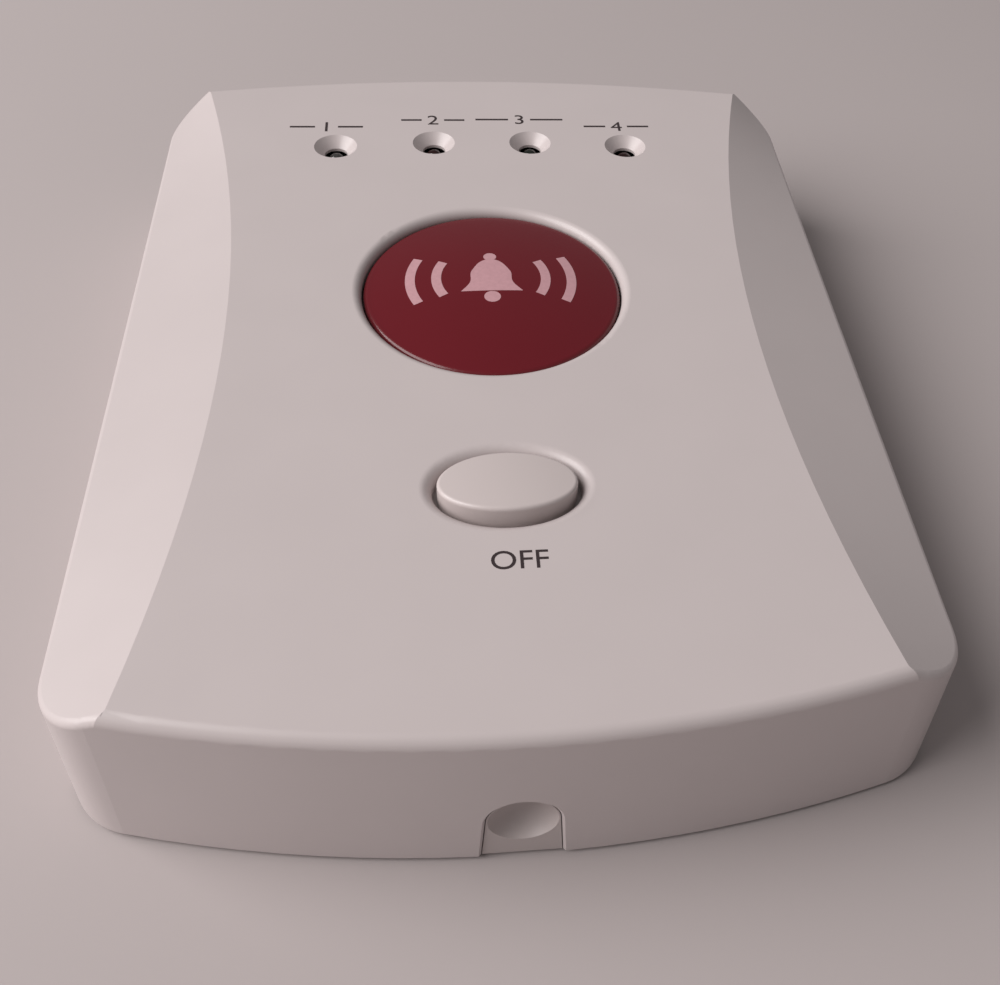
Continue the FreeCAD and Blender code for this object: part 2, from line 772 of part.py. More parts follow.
def draw_circles(sketch, places, radius):
    for number, (x, y) in enumerate(places):
        guess = Vector(2 * FIRST_GUESS * number, FIRST_GUESS, 0)
        sketch.addGeometry(Part.Circle(guess, Vector(0, 0, 1), 1.0), False)
        size = sketch.addConstraint(Sketcher.Constraint("Radius", number, 1.0))
        bind(sketch, "Constraints[%d]" % size, radius)
        for kind, formula in (("DistanceX", x), ("DistanceY", y)):
            where = sketch.addConstraint(Sketcher.Constraint(kind, -1, 1, number, 3, 1.0))
            bind(sketch, "Constraints[%d]" % where, formula)


def board_screws():
    screws = []
    for number, (x, y) in enumerate(BOARD_SCREW_PLACES):
        head = rod("board_head_%d" % number, "board_head_radius", "board_head_height",
                   x, y, BOARD_UNDER + " - board_head_height")
        shank = rod("board_shank_%d" % number, "board_screw_radius", "board_screw_length - fit_gap",
                    x, y, BOARD_UNDER)
        screws.append(fuse("board_screw_%d" % number, head, shank))
    return group("board_screws", *screws)


def lamp(label, x, y):
    """Three millimetre lamp: flanged, domed body on two stiff leads."""
    tip = "panel_level - lamp_recess"
    foot = "%s - lamp_body" % tip
    flange = rod(label + "_flange", "lamp_flange_radius", "lamp_flange_thick", x, y, foot)
    body = rod(label + "_body", "lamp_radius", "lamp_body - lamp_radius", x, y, foot)
    dome = doc.addObject("Part::Sphere", label + "_dome")
    bind(dome, "Radius", "lamp_radius")
    place(dome, x, y, "%s - lamp_radius" % tip)
    leads = [
        rod("%s_lead_%d" % (label, number), "lead_radius", "%s + lead_root - board_top" % foot,
            "%s + %d * lead_half_pitch" % (x, side), y, "board_top")
        for number, side in enumerate((-1, 1))
    ]
    return fuse(label, flange, body, dome, *leads)


def block_on_board(label, width, length, height, x, front):
    """Flat block, its front side at a distance from the front edge of the board."""
    y = "%s + %s + %s / 2" % (BOARD_FRONT, front, length)
    return slab(label, rectangle(width, length, x, y), height, "board_top")


AERIAL_TURNS = 7
SOS_SPRING_TURNS = 4
OVAL_SPRING_TURNS = 6


def radio_coil():
    """Coil aerial lying along Y above the board."""
    helix = doc.addObject("Part::Helix", "coil_path")
    bind(helix, "Radius", "coil_radius")
    bind(helix, "Height", "coil_length")
    bind(helix, "Pitch", "coil_length / %d" % AERIAL_TURNS)
    section = doc.addObject("Part::Circle", "coil_section")
    bind(section, "Radius", "coil_wire / 2")
    section.Placement = Placement(Vector(SIZES["coil_radius"], 0, 0), Rotation(Vector(1, 0, 0), 90))
    bind(section, "Placement.Base.x", "coil_radius")
    coil = sweep("coil_antenna", section, helix)
    coil.Placement = Placement(Vector(), Rotation(Vector(1, 0, 0), -90))
    return place(coil, "coil_x", BOARD_FRONT + " + coil_front", "board_top + coil_radius + coil_wire / 2")


def sweep(name, section, path):
    doc.recompute()
    tube = doc.addObject("Part::Sweep", name)
    tube.Sections = [section]
    tube.Spine = (path, ["Edge%d" % (i + 1) for i in range(len(path.Shape.Edges))])
    tube.Solid = True
    tube.Frenet = True
    return tube


def coil_spring(label, radius, wire, low, high, turns, y):
    """Compression spring standing between low and high."""
    helix = doc.addObject("Part::Helix", label + "_path")
    bind(helix, "Radius", radius)
    bind(helix, "Height", "%s - (%s) - %s" % (high, low, wire))
    bind(helix, "Pitch", "(%s - (%s) - %s) / %d" % (high, low, wire, turns))
    section = doc.addObject("Part::Circle", label + "_section")
    bind(section, "Radius", "%s / 2" % wire)
    section.Placement = Placement(Vector(), Rotation(Vector(1, 0, 0), 90))
    bind(section, "Placement.Base.x", radius)
    spring = sweep(label, section, helix)
    return place(spring, y=y, z="%s + %s / 2" % (low, wire))


# Buttons

FLANGE_TOP = "panel_level - shell_wall - fit_gap"
FLANGE_LOW = FLANGE_TOP + " - flange_thick"
SOS_CREST = "panel_level - sos_sink + sos_crown"
SOS_ROOF = "panel_level - sos_sink + sos_crown / 2 - sos_skin"
OVAL_TOP = "panel_level + oval_proud"
OVAL_ROOF = "panel_level + oval_proud - oval_crown - oval_roof"


def dome(name, reach, crown, crest, y):
    """Ball whose crown falls by crown at reach from its crest."""
    ball = doc.addObject("Part::Sphere", name)
    radius = "(%s * %s + %s * %s) / (2 * %s)" % (reach, reach, crown, crown, crown)
    bind(ball, "Radius", radius)
    return place(ball, y=y, z="%s - %s" % (crest, radius))


def leaning_dome(name):
    """Ball whose crown passes through the middle of the oval cap and leans to the rear."""
    ball = doc.addObject("Part::Sphere", name)
    radius = "(oval_half * oval_half + oval_crown * oval_crown) / (2 * oval_crown)"
    ahead = "(%s) * oval_lean / (2 * oval_depth_half)" % radius
    bind(ball, "Radius", radius)
    drop = "sqrt((%s) * (%s) - %s * %s)" % (radius, radius, ahead, ahead)
    return place(ball, y="oval_y - " + ahead, z="%s - %s" % (OVAL_TOP, drop))


def above_panel_rim(half_length):
    """Picks the edge round the top of a cap of this half length."""
    def wanted(edge):
        bounds = edge.BoundBox
        return bounds.ZMin > SIZES["panel_level"] - 2 * SIZES["sos_sink"] and bounds.XLength > half_length
    return wanted


def post_foot(button):
    """Foot of a cap's post: it stops just short of the pressed plunger."""
    return ("board_top + {0}_switch_height + {0}_plunger_rise + {0}_travel"
            " - {0}_plunger_travel + stop_gap").format(button)


def sos_cap():
    """Domed round cap with a skirt, a flange under the panel and a central post."""
    drum = rod("sos_drum", "sos_radius", "%s - (%s)" % (SOS_CREST, FLANGE_LOW), y="sos_y", z=FLANGE_LOW)
    domed = common("sos_domed", drum, dome("sos_ball", "sos_radius", "sos_crown", SOS_CREST, "sos_y"))
    soft = rounded("sos_soft", domed, SIZES["sos_round"], above_panel_rim(SIZES["sos_radius"]))
    flange = rod("sos_flange", "sos_radius + flange_reach", "flange_thick", y="sos_y", z=FLANGE_LOW)
    hollow = rod("sos_hollow", "sos_radius - sos_skin", "%s - (%s) + flange_thick" % (SOS_ROOF, FLANGE_LOW),
                 y="sos_y", z=FLANGE_LOW + " - flange_thick")
    foot = post_foot("sos")
    height = "%s + sos_skin / 2 - (%s)" % (SOS_ROOF, foot)
    post = rod("sos_post", "sos_post_radius", height, y="sos_y", z=foot)
    return fuse("sos_button", cut("sos_cup", fuse("sos_blank", soft, flange), hollow), post)


def oval_cap():
    """Oval cap with a leaning crowned top, the same flange and a post."""
    drum = ellipse_block("oval_drum", "oval_half", "oval_depth_half",
                         FLANGE_LOW, "%s + oval_lean - (%s)" % (OVAL_TOP, FLANGE_LOW), "oval_y")
    domed = common("oval_domed", drum, leaning_dome("oval_ball"))
    soft = rounded("oval_soft", domed, SIZES["oval_round"], above_panel_rim(SIZES["oval_half"]))
    flange = ellipse_block("oval_flange", "oval_half + flange_reach", "oval_depth_half + flange_reach",
                           FLANGE_LOW, "flange_thick", "oval_y")
    depth = "%s - (%s) + flange_thick" % (OVAL_ROOF, FLANGE_LOW)
    hollow = ellipse_block("oval_hollow", "oval_half - oval_skin", "oval_depth_half - oval_skin",
                           FLANGE_LOW + " - flange_thick", depth, "oval_y")
    foot = post_foot("oval")
    height = "%s + oval_skin / 2 - (%s)" % (OVAL_ROOF, foot)
    post = rod("oval_post", "oval_post_radius", height, y="oval_y", z=foot)
    return fuse("disarm_button", cut("oval_cup", fuse("oval_blank", soft, flange), hollow), post)


def push_switch(label, button, y):
    """Switch block with a well for its plunger."""
    side, height = button + "_switch_side", button + "_switch_height"
    block = box(label + "_block", side, side, height, y=y, z="board_top")
    well = rod(label + "_well", button + "_plunger_radius + fit_gap / 2", height,
               y=y, z="board_top + %s_well_floor" % button)
    return cut(label, block, well)


def plunger(label, button, y):
    """Round plunger that stands in the well of its switch."""
    radius = button + "_plunger_radius"
    low = "board_top + {0}_well_floor + {0}_plunger_travel + stop_gap".format(button)
    top = "board_top + {0}_switch_height + {0}_plunger_rise".format(button)
    return turned(label, [(ZERO, low), (radius, low), (radius, top), (ZERO, top)], y=y)


# Rear sockets

def supply_jack():
    """Supply socket: a block bored from the rear, with its centre pin."""
    face = "%s - rear_gap" % wall_rear("jack_x - jack_width / 2")
    centre = "board_top + jack_height / 2"
    block = box("jack_block", "jack_width", "jack_length", "jack_height", "jack_x",
                "%s - jack_length / 2" % face, "board_top")
    bore = rod("jack_bore", "jack_bore_radius", "jack_bore_depth + shell_wall", "jack_x",
               "%s - jack_bore_depth" % face, centre, along="y")
    pin = rod("jack_pin", "jack_pin_radius", "jack_bore_depth - jack_pin_recess + jack_pin_root", "jack_x",
              "%s - jack_bore_depth - jack_pin_root" % face, centre, along="y")
    return fuse("dc_jack", cut("jack_bored", block, bore), pin)


SLIDER_FACE = "%s - rear_gap" % wall_rear("slider_x + slider_width / 2")


def slide_switch():
    block = box("slider_block", "slider_width", "slider_depth", "slider_height", "slider_x",
                "%s - slider_depth / 2" % SLIDER_FACE, "board_top")
    slot = box("slider_slot", KNOB_WAY, "2 * slider_slot_depth", "knob_height + 2 * fit_gap",
               "slider_x", SLIDER_FACE, KNOB_LOW + " - fit_gap")
    return cut("power_switch", block, slot)


def slide_knob():
    """Thumb piece of the supply switch, shown at its off end."""
    return box("power_knob", "knob_width", "knob_reach", "knob_height", "slider_x - slider_travel / 2",
               "%s - knob_root + knob_reach / 2" % SLIDER_FACE, KNOB_LOW)


SIM_FACE = "%s - rear_gap" % wall_rear("sim_x + sim_width / 2")


def card_holder():
    shell = box("sim_block", "sim_width", "sim_length", "sim_height",
                "sim_x", "%s - sim_length / 2" % SIM_FACE, "board_top")
    slot = box("sim_slot", "card_width + 2 * fit_gap", "sim_length", "card_thick + 2 * fit_gap",
               "sim_x", "%s - sim_length / 2 + sim_back" % SIM_FACE, CARD_LOW + " - fit_gap")
    return cut("sim_holder", shell, slot)


def card():
    return box("sim_card", "card_width", "card_length", "card_thick",
               "sim_x", "%s - card_length / 2 + card_proud" % SIM_FACE, CARD_LOW)


# Speaker, battery and microphone

def speaker():
    """Basket and rim, with the magnet on its back; it faces the grille below."""
    low = BASE_TOP + " + gasket_thick"
    back = low + " + speaker_thick"
    rim = rod("speaker_rim_disc", "speaker_radius", "speaker_rim", y="speaker_y", z=low)
    basket = cone("speaker_basket", "basket_radius", "basket_neck_radius", "speaker_thick - speaker_rim",
                  ZERO, "speaker_y", low + " + speaker_rim")
    magnet = rod("speaker_magnet", "magnet_radius", "magnet_thick", y="speaker_y", z=back)
    hollow = cone("speaker_cone", "cone_radius", "cone_neck_radius", "cone_depth + fit_gap",
                  ZERO, "speaker_y", low + " - fit_gap")
    return cut("loudspeaker", fuse("speaker_solid", rim, basket, magnet), hollow)


def speaker_gasket():
    ring = rod("gasket_out", "speaker_radius", "gasket_thick", y="speaker_y", z=BASE_TOP)
    hole = rod("gasket_in", "cone_radius", "3 * gasket_thick", y="speaker_y", z=BASE_TOP + " - gasket_thick")
    return cut("speaker_gasket", ring, hole)


def battery():
    cell = box("battery_cell", "battery_width", "battery_length", "battery_thick", y="battery_y", z=BASE_TOP)
    return rounded("backup_battery", cell, SIZES["battery_round"], is_long_battery_edge)


def is_long_battery_edge(edge):
    """The four edges that run along Y."""
    return edge.BoundBox.YLength > SIZES["battery_length"] - NEAR


def microphone():
    return rod("microphone", "mic_radius", "mic_thick", y=MIC_Y, z="%s + mic_boot_wall" % BASE_TOP)


def microphone_boot():
    outer = rod("mic_boot_out", "mic_radius + fit_gap + mic_boot_wall", "mic_thick + mic_boot_wall / 2",
                y=MIC_Y, z=BASE_TOP)
    inner = rod("mic_boot_in", "mic_radius + tight_gap", "2 * mic_thick",
                y=MIC_Y, z=BASE_TOP + " + mic_boot_wall")
    way = rod("mic_boot_way", "grille_slot / 2", "4 * mic_thick", y=MIC_Y, z=BASE_TOP + " - mic_thick")
    return cut("microphone_boot", outer, inner, way)


# The assembly

upper_shell()
base_plate()
feet()
case_screws()
main_board()
board_screws()
for lamp_label, lamp_x, lamp_y in LAMP_PLACES:
    lamp(lamp_label, lamp_x, lamp_y)

sos_cap()
coil_spring("sos_spring", "sos_spring_radius", "sos_wire", "board_top", SOS_ROOF, SOS_SPRING_TURNS, "sos_y")
push_switch("sos_switch", "sos", "sos_y")
plunger("sos_plunger", "sos", "sos_y")

oval_cap()
coil_spring("disarm_spring", "oval_spring_radius", "oval_wire", "board_top", OVAL_ROOF,
            OVAL_SPRING_TURNS, "oval_y")
push_switch("disarm_switch", "oval", "oval_y")
plunger("disarm_plunger", "oval", "oval_y")

supply_jack()
slide_switch()
slide_knob()
card_holder()
card()
speaker()
speaker_gasket()
battery()
microphone()
microphone_boot()
block_on_board("cellular_module", "modem_side", "modem_side", "modem_height", "modem_x", "modem_front")
block_on_board("radio_receiver", "radio_width", "radio_length", "radio_height", "radio_x", "radio_front")
radio_coil()

NODES = [
    "top_housing", "bottom_housing", "rubber_feet", "case_screws",
    "main_board", "board_screws", "led_status", "led_power", "led_monitor", "led_alarm",
    "sos_button", "sos_spring", "sos_switch", "sos_plunger",
    "disarm_button", "disarm_spring", "disarm_switch", "disarm_plunger",
    "dc_jack", "power_switch", "power_knob", "sim_holder", "sim_card",
    "loudspeaker", "speaker_gasket", "backup_battery", "microphone", "microphone_boot",
    "cellular_module", "radio_receiver", "coil_antenna",
]


def checked(label):
    """The finished shape of one node, after every state it depends on is sound."""
    node = doc.getObject(label)
    shape = node.Shape
    if shape.isNull() or not shape.isValid() or not shape.Solids:
        raise ValueError("no sound solid: " + label)
    return shape


doc.recompute()
for feature in doc.Objects:
    if "Invalid" in feature.State or "Error" in feature.State:
        raise ValueError("failed feature: %s %s" % (feature.Label, feature.State))

os.makedirs("parts", exist_ok=True)
for node_name in NODES:
    solid_shape = checked(node_name)
    solid_shape.exportStep("parts/%s.step" % node_name)
    print("%-18s %2d solids %10.1f mm3" % (node_name, len(solid_shape.Solids), solid_shape.Volume))
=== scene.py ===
# %% [markdown]
# # A desk base station with an emergency call button
# The construction model arrives as finished solids: the case, the buttons and everything
# inside. This lesson dresses them. Each cell makes one piece or one finish, and the text
# before it says what that piece is on the real object and why it is made this way.
# The solids keep their places, so every new piece is measured from them.

# %% Load the construction model
import math

import bmesh
import bpy
from mathutils import Matrix, Vector
from mathutils.bvhtree import BVHTree


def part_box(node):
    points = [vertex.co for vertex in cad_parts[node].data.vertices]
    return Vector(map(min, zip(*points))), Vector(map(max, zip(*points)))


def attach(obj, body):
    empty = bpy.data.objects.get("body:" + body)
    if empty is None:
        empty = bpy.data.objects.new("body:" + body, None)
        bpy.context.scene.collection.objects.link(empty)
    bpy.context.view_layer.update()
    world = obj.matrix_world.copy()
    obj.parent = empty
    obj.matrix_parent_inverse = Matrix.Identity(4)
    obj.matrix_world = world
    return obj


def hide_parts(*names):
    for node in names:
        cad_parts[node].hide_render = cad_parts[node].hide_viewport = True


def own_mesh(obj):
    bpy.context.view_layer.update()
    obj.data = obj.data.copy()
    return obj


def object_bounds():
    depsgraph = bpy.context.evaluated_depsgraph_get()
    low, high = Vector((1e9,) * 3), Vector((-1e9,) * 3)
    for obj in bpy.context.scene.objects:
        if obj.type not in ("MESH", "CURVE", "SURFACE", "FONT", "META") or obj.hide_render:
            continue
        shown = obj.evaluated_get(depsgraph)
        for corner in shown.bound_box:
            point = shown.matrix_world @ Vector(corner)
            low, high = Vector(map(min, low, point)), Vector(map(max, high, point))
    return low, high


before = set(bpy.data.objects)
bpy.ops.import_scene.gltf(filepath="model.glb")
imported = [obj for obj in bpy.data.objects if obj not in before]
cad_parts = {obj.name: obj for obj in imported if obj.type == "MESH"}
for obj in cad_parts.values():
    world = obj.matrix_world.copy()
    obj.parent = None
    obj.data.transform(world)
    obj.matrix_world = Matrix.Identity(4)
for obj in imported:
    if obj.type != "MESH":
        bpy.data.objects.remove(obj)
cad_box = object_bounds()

MM = 0.001
print("box of the solids in mm:", [[round(c / MM, 2) for c in corner] for corner in cad_box])

# %% [markdown]
# ## The camera
# A camera close to a small object shows strong perspective: the near end of the case looks
# much wider than the far end. The eye stands 22 cm from the middle of the case, in front
# of it and above it, turned a little to the right and tilted a little. The picture is
# slightly off centre, so the lens is shifted instead of turning the camera away.

# %% Camera
FOCAL_LENGTH = 46.088         # mm, on a 36 mm wide sensor
EYE = Vector((-7.631, -148.224, 147.748)) * MM
TURN_RIGHT, TILT_DOWN, ROLL = 0.1796, 0.769, 0.0956
SHIFT_X, SHIFT_Y = -0.1129, -0.0596

camera_data = bpy.data.cameras.new("camera")
camera_data.lens = FOCAL_LENGTH
camera_data.sensor_width = 36.0
camera_data.shift_x, camera_data.shift_y = SHIFT_X, SHIFT_Y
camera_data.clip_start, camera_data.clip_end = 1 * MM, 20.0
camera = bpy.data.objects.new("camera", camera_data)
camera.matrix_world = (
    Matrix.Translation(EYE)
    @ Matrix.Rotation(-TURN_RIGHT, 4, "Z")
    @ Matrix.Rotation(math.pi / 2 - TILT_DOWN, 4, "X")
    @ Matrix.Rotation(ROLL, 4, "Z")
)
bpy.context.scene.collection.objects.link(camera)
bpy.context.scene.camera = camera
bpy.context.scene.view_settings.view_transform = "Standard"

# %% [markdown]
# ## Node helpers
# Materials are small networks of nodes. Three helpers keep the cells below short: one adds
# a node and fills its inputs, one adds a Math node, and one starts a node group, which is
# a network with named inputs that several materials can use with values of their own.

# %% Node helpers
def add(tree, kind, inputs=None, **settings):
    """One node; an input is a value, or another node's output to link."""
    made = tree.nodes.new("ShaderNode" + kind)
    for word, value in settings.items():
        setattr(made, word, value)
    for socket_name, value in (inputs or {}).items():
        socket = made.inputs[socket_name]
        if isinstance(value, bpy.types.NodeSocket):
            tree.links.new(value, socket)
        else:
            socket.default_value = value
    return made


def calc(tree, operation, first, second=0.5, clamp=False):
    return add(tree, "Math", {0: first, 1: second}, operation=operation, use_clamp=clamp).outputs[0]


def blend_colours(tree, share, first, second, mode="MIX"):
    mix = add(tree, "Mix", data_type="RGBA", blend_type=mode)
    for position, value in ((0, share), (6, first), (7, second)):
        if isinstance(value, bpy.types.NodeSocket):
            tree.links.new(value, mix.inputs[position])
        else:
            mix.inputs[position].default_value = value
    return mix.outputs[2]


def new_group(name, takes, gives):
    """Shader node group; takes maps each input to its type and value, gives names outputs."""
    group = bpy.data.node_groups.new(name, "ShaderNodeTree")
    for word, (kind, value) in takes.items():
        socket = group.interface.new_socket(word, in_out="INPUT", socket_type="NodeSocket" + kind)
        socket.default_value = value
    for word, kind in gives.items():
        group.interface.new_socket(word, in_out="OUTPUT", socket_type="NodeSocket" + kind)
    taken = group.nodes.new("NodeGroupInput").outputs
    given = group.nodes.new("NodeGroupOutput").inputs
    return group, taken, given


def place_group(tree, group, inputs):
    """The group as a node of this material, with its own values; returns its outputs."""
    made = tree.nodes.new("ShaderNodeGroup")
    made.node_tree = group
    for socket_name, value in inputs.items():
        if isinstance(value, bpy.types.NodeSocket):
            tree.links.new(value, made.inputs[socket_name])
        else:
            made.inputs[socket_name].default_value = value
    return made.outputs


def srgb(red, green, blue):
    """Colour given as 0 to 255 screen values, as the linear colour that a socket takes."""
    shares = [value / 255 for value in (red, green, blue)]
    linear = [s / 12.92 if s <= 0.04045 else ((s + 0.055) / 1.055) ** 2.4 for s in shares]
    return (*linear, 1.0)


# %% [markdown]
# ## Effects that several finishes share
# Moulded plastic has a fine surface left by the steel of the mould, and its tone drifts a
# little from place to place. In corners and gaps, where the light is hidden, the colour is
# darkened: painted shade, broken up by a fine noise. Each of these is a group, built once.
# The patterns read Object coordinates, which are the real metres of the piece, so a grain
# of 0.3 mm is 0.3 mm on every piece.

# %% Group: fine mould grain
def make_mould_grain():
    group, taken, given = new_group(
        "mould_grain", {"Grain Size": ("Float", 0.3), "Depth": ("Float", 0.3)}, {"Height": "Float"}
    )
    coordinates = add(group, "TexCoord").outputs["Object"]
    scale = calc(group, "DIVIDE", 1 / MM, taken["Grain Size"])
    settings = {"Vector": coordinates, "Scale": scale, "Detail": 2.0, "Roughness": 0.6}
    noise = add(group, "TexNoise", settings)
    group.links.new(calc(group, "MULTIPLY", noise.outputs["Fac"], taken["Depth"]), given["Height"])
    return group


mould_grain = make_mould_grain()

# %% Group: drift of tone
def make_tone_drift():
    group, taken, given = new_group(
        "tone_drift",
        {
            "Color": ("Color", (0.5, 0.5, 0.5, 1.0)),
            "Patch Size": ("Float", 20.0),
            "Amount": ("Float", 0.04),
        },
        {"Color": "Color", "Mask": "Float"},
    )
    coordinates = add(group, "TexCoord").outputs["Object"]
    scale = calc(group, "DIVIDE", 1 / MM, taken["Patch Size"])
    noise = add(group, "TexNoise", {"Vector": coordinates, "Scale": scale, "Detail": 3.0})
    centred = calc(group, "SUBTRACT", noise.outputs["Fac"], 0.5)
    lift = calc(group, "MULTIPLY", centred, taken["Amount"])
    brightness = calc(group, "ADD", lift, 1.0)
    hsv = add(group, "HueSaturation", {"Color": taken["Color"], "Value": brightness})
    group.links.new(hsv.outputs["Color"], given["Color"])
    group.links.new(noise.outputs["Fac"], given["Mask"])
    return group


tone_drift = make_tone_drift()

# %% Group: painted shade in corners and gaps
def make_corner_shade_group():
    group, taken, given = new_group(
        "corner_shade_group",
        {
            "Color": ("Color", (0.5, 0.5, 0.5, 1.0)),
            "Shade Color": ("Color", (0.2, 0.18, 0.16, 1.0)),
            "Reach": ("Float", 1.5),
            "Amount": ("Float", 0.3),
        },
        {"Color": "Color", "Mask": "Float"},
    )
    reach = calc(group, "MULTIPLY", taken["Reach"], MM)
    # painted shade: the colour darkens where ambient occlusion finds the surface hidden, broken up
    # by a fine noise
    open_sky = add(group, "AmbientOcclusion", {"Distance": reach}, samples=6).outputs["AO"]
    coordinates = add(group, "TexCoord").outputs["Object"]
    settings = {"Vector": coordinates, "Scale": 900.0, "Detail": 2.0}
    speckle = add(group, "TexNoise", settings).outputs["Fac"]
    hidden = calc(group, "POWER", calc(group, "SUBTRACT", 1.0, open_sky), 2.0)
    dotted = calc(group, "MULTIPLY", hidden, speckle)
    mask = calc(group, "MULTIPLY", dotted, taken["Amount"], clamp=True)
    group.links.new(blend_colours(group, mask, taken["Color"], taken["Shade Color"]), given["Color"])
    group.links.new(mask, given["Mask"])
    return group


corner_shade_group = make_corner_shade_group()

# %% Group: fine scratches of drawn or rolled metal
def make_drawn_lines():
    group, taken, given = new_group(
        "drawn_lines",
        {"Line Width": ("Float", 0.1), "Stretch": ("Vector", (1.0, 1.0, 0.05))},
        {"Mask": "Float"},
    )
    coordinates = add(group, "TexCoord").outputs["Object"]
    factors = {0: coordinates, 1: taken["Stretch"]}
    stretched = add(group, "VectorMath", factors, operation="MULTIPLY")
    scale = calc(group, "DIVIDE", 1 / MM, taken["Line Width"])
    noise = add(group, "TexNoise", {"Vector": stretched.outputs[0], "Scale": scale, "Detail": 3.0})
    group.links.new(noise.outputs["Fac"], given["Mask"])
    return group


drawn_lines = make_drawn_lines()
print("groups:", [group.name for group in bpy.data.node_groups])

# %% [markdown]
# ## Moulded plastics
# The case and the buttons are injection moulded. The grain, the drift and the painted
# corner shade feed the colour, the roughness and the bump; the shader itself stays in the
# material. The call button is polished, the case is semi-gloss, and the base plate is the
# dullest.

# %% Plastic finishes
def start_material(name):
    material = bpy.data.materials.new(name)
    material.use_nodes = True
    tree = material.node_tree
    tree.nodes.clear()
    shader = add(tree, "BsdfPrincipled")
    output = add(tree, "OutputMaterial")
    tree.links.new(shader.outputs[0], output.inputs["Surface"])
    return material, tree, shader


DRIFT_DULLS, CORNER_SHADE_DULLS = 0.08, 0.4     # roughness that the drift and the painted corner shade add
GRAIN_DEPTH_UNIT = 0.01 * MM


def plastic(name, colour, roughness, grain=0.3, depth=0.2, drift=0.05, corner_shade=0.3, reach=1.5):
    """Moulded plastic: grain in millimetres, its depth in hundredths of a millimetre."""
    material, tree, shader = start_material(name)
    tone = place_group(tree, tone_drift, {"Color": colour, "Amount": drift, "Patch Size": 14.0})
    # painted shade: the colour darkens in corners and gaps, and the roughness rises there too
    corner_shaded = place_group(tree, corner_shade_group, {"Color": tone["Color"], "Amount": corner_shade, "Reach": reach})
    tree.links.new(corner_shaded["Color"], shader.inputs["Base Color"])
    drifted = calc(tree, "MULTIPLY", tone["Mask"], DRIFT_DULLS)
    rough = calc(tree, "ADD", drifted, roughness - DRIFT_DULLS / 2)
    dulled = calc(tree, "ADD", rough, calc(tree, "MULTIPLY", corner_shaded["Mask"], CORNER_SHADE_DULLS))
    tree.links.new(dulled, shader.inputs["Roughness"])
    height = place_group(tree, mould_grain, {"Grain Size": grain, "Depth": 1.0})["Height"]
    relief = {"Height": height, "Distance": depth * GRAIN_DEPTH_UNIT, "Strength": 1.0}
    bump = add(tree, "Bump", relief)
    tree.links.new(bump.outputs["Normal"], shader.inputs["Normal"])
    return material


shell_white = plastic("shell_white", srgb(199, 188, 187), roughness=0.34, depth=0.2)
base_white = plastic("base_white", srgb(190, 179, 177), roughness=0.5, grain=0.4, depth=0.6)
button_white = plastic("button_white", srgb(202, 190, 188), roughness=0.3, depth=0.15)
button_red = plastic("button_red", srgb(101, 14, 26), roughness=0.22, depth=0.1, drift=0.08)
black_plastic = plastic("black_plastic", srgb(34, 34, 36), roughness=0.5, depth=1.0)
switch_nylon = plastic("switch_plunger", srgb(206, 200, 186), roughness=0.45)
foot_rubber = plastic(
    "foot_rubber", srgb(42, 41, 42), roughness=0.8, grain=0.5, depth=3.0, drift=0.2
)
gasket_foam = plastic(
    "gasket_foam", srgb(60, 59, 60), roughness=0.95, grain=0.6, depth=8.0, drift=0.3
)
battery_wrap = plastic("battery_wrap", srgb(52, 98, 152), roughness=0.25, grain=3.0, depth=6.0)
card_white = plastic("card_white", srgb(222, 220, 214), roughness=0.55)
cone_paper = plastic(
    "cone_paper", srgb(58, 56, 55), roughness=0.85, grain=0.5, depth=6.0, drift=0.25
)
speaker_black = plastic("speaker_black", srgb(46, 46, 48), roughness=0.6, grain=0.5, depth=2.0)

# %% [markdown]
# ## Metals
# Metal takes its colour from what it reflects, so the Metallic value is 1 and the pattern
# goes into the roughness: the lines that drawing or rolling leave run along the part.

# %% Metal finishes
LINES_DULL, LINE_DEPTH = 0.2, 0.004 * MM
ALONG_X, ALONG_Z = (0.05, 1.0, 1.0), (1.0, 1.0, 0.05)     # the lines are drawn out that way


def metal(name, colour, roughness, line_width=0.1, stretch=ALONG_Z, drift=0.1):
    material, tree, shader = start_material(name)
    tone = place_group(tree, tone_drift, {"Color": colour, "Amount": drift, "Patch Size": 4.0})
    tree.links.new(tone["Color"], shader.inputs["Base Color"])
    shader.inputs["Metallic"].default_value = 1.0
    lines = place_group(tree, drawn_lines, {"Line Width": line_width, "Stretch": stretch})["Mask"]
    rough = calc(tree, "ADD", calc(tree, "MULTIPLY", lines, LINES_DULL), roughness - LINES_DULL / 2)
    tree.links.new(rough, shader.inputs["Roughness"])
    bump = add(tree, "Bump", {"Height": lines, "Distance": LINE_DEPTH})
    tree.links.new(bump.outputs["Normal"], shader.inputs["Normal"])
    return material


screw_steel = metal("screw_steel", srgb(196, 194, 190), roughness=0.32)
spring_steel = metal("spring_steel", srgb(188, 188, 190), roughness=0.28, line_width=0.05)
switch_metal = metal("switch_metal", srgb(205, 204, 200), roughness=0.36, stretch=ALONG_X)
shield_metal = metal("shield_metal", srgb(208, 207, 203), roughness=0.3, stretch=ALONG_X)
antenna_brass = metal("antenna_brass", srgb(214, 184, 112), roughness=0.3)

# %% [markdown]
# ## The circuit board
# Solder mask is a green lacquer over copper. Where copper runs under it, the lacquer looks
# lighter. Straight tracks come from a brick pattern, whose joints are the tracks.

# %% Board finish
TRACK_PITCH, COPPER_THICK = 2.2 * MM, 0.03 * MM
MASK_GREEN, OVER_COPPER = srgb(18, 82, 48), srgb(44, 120, 70)


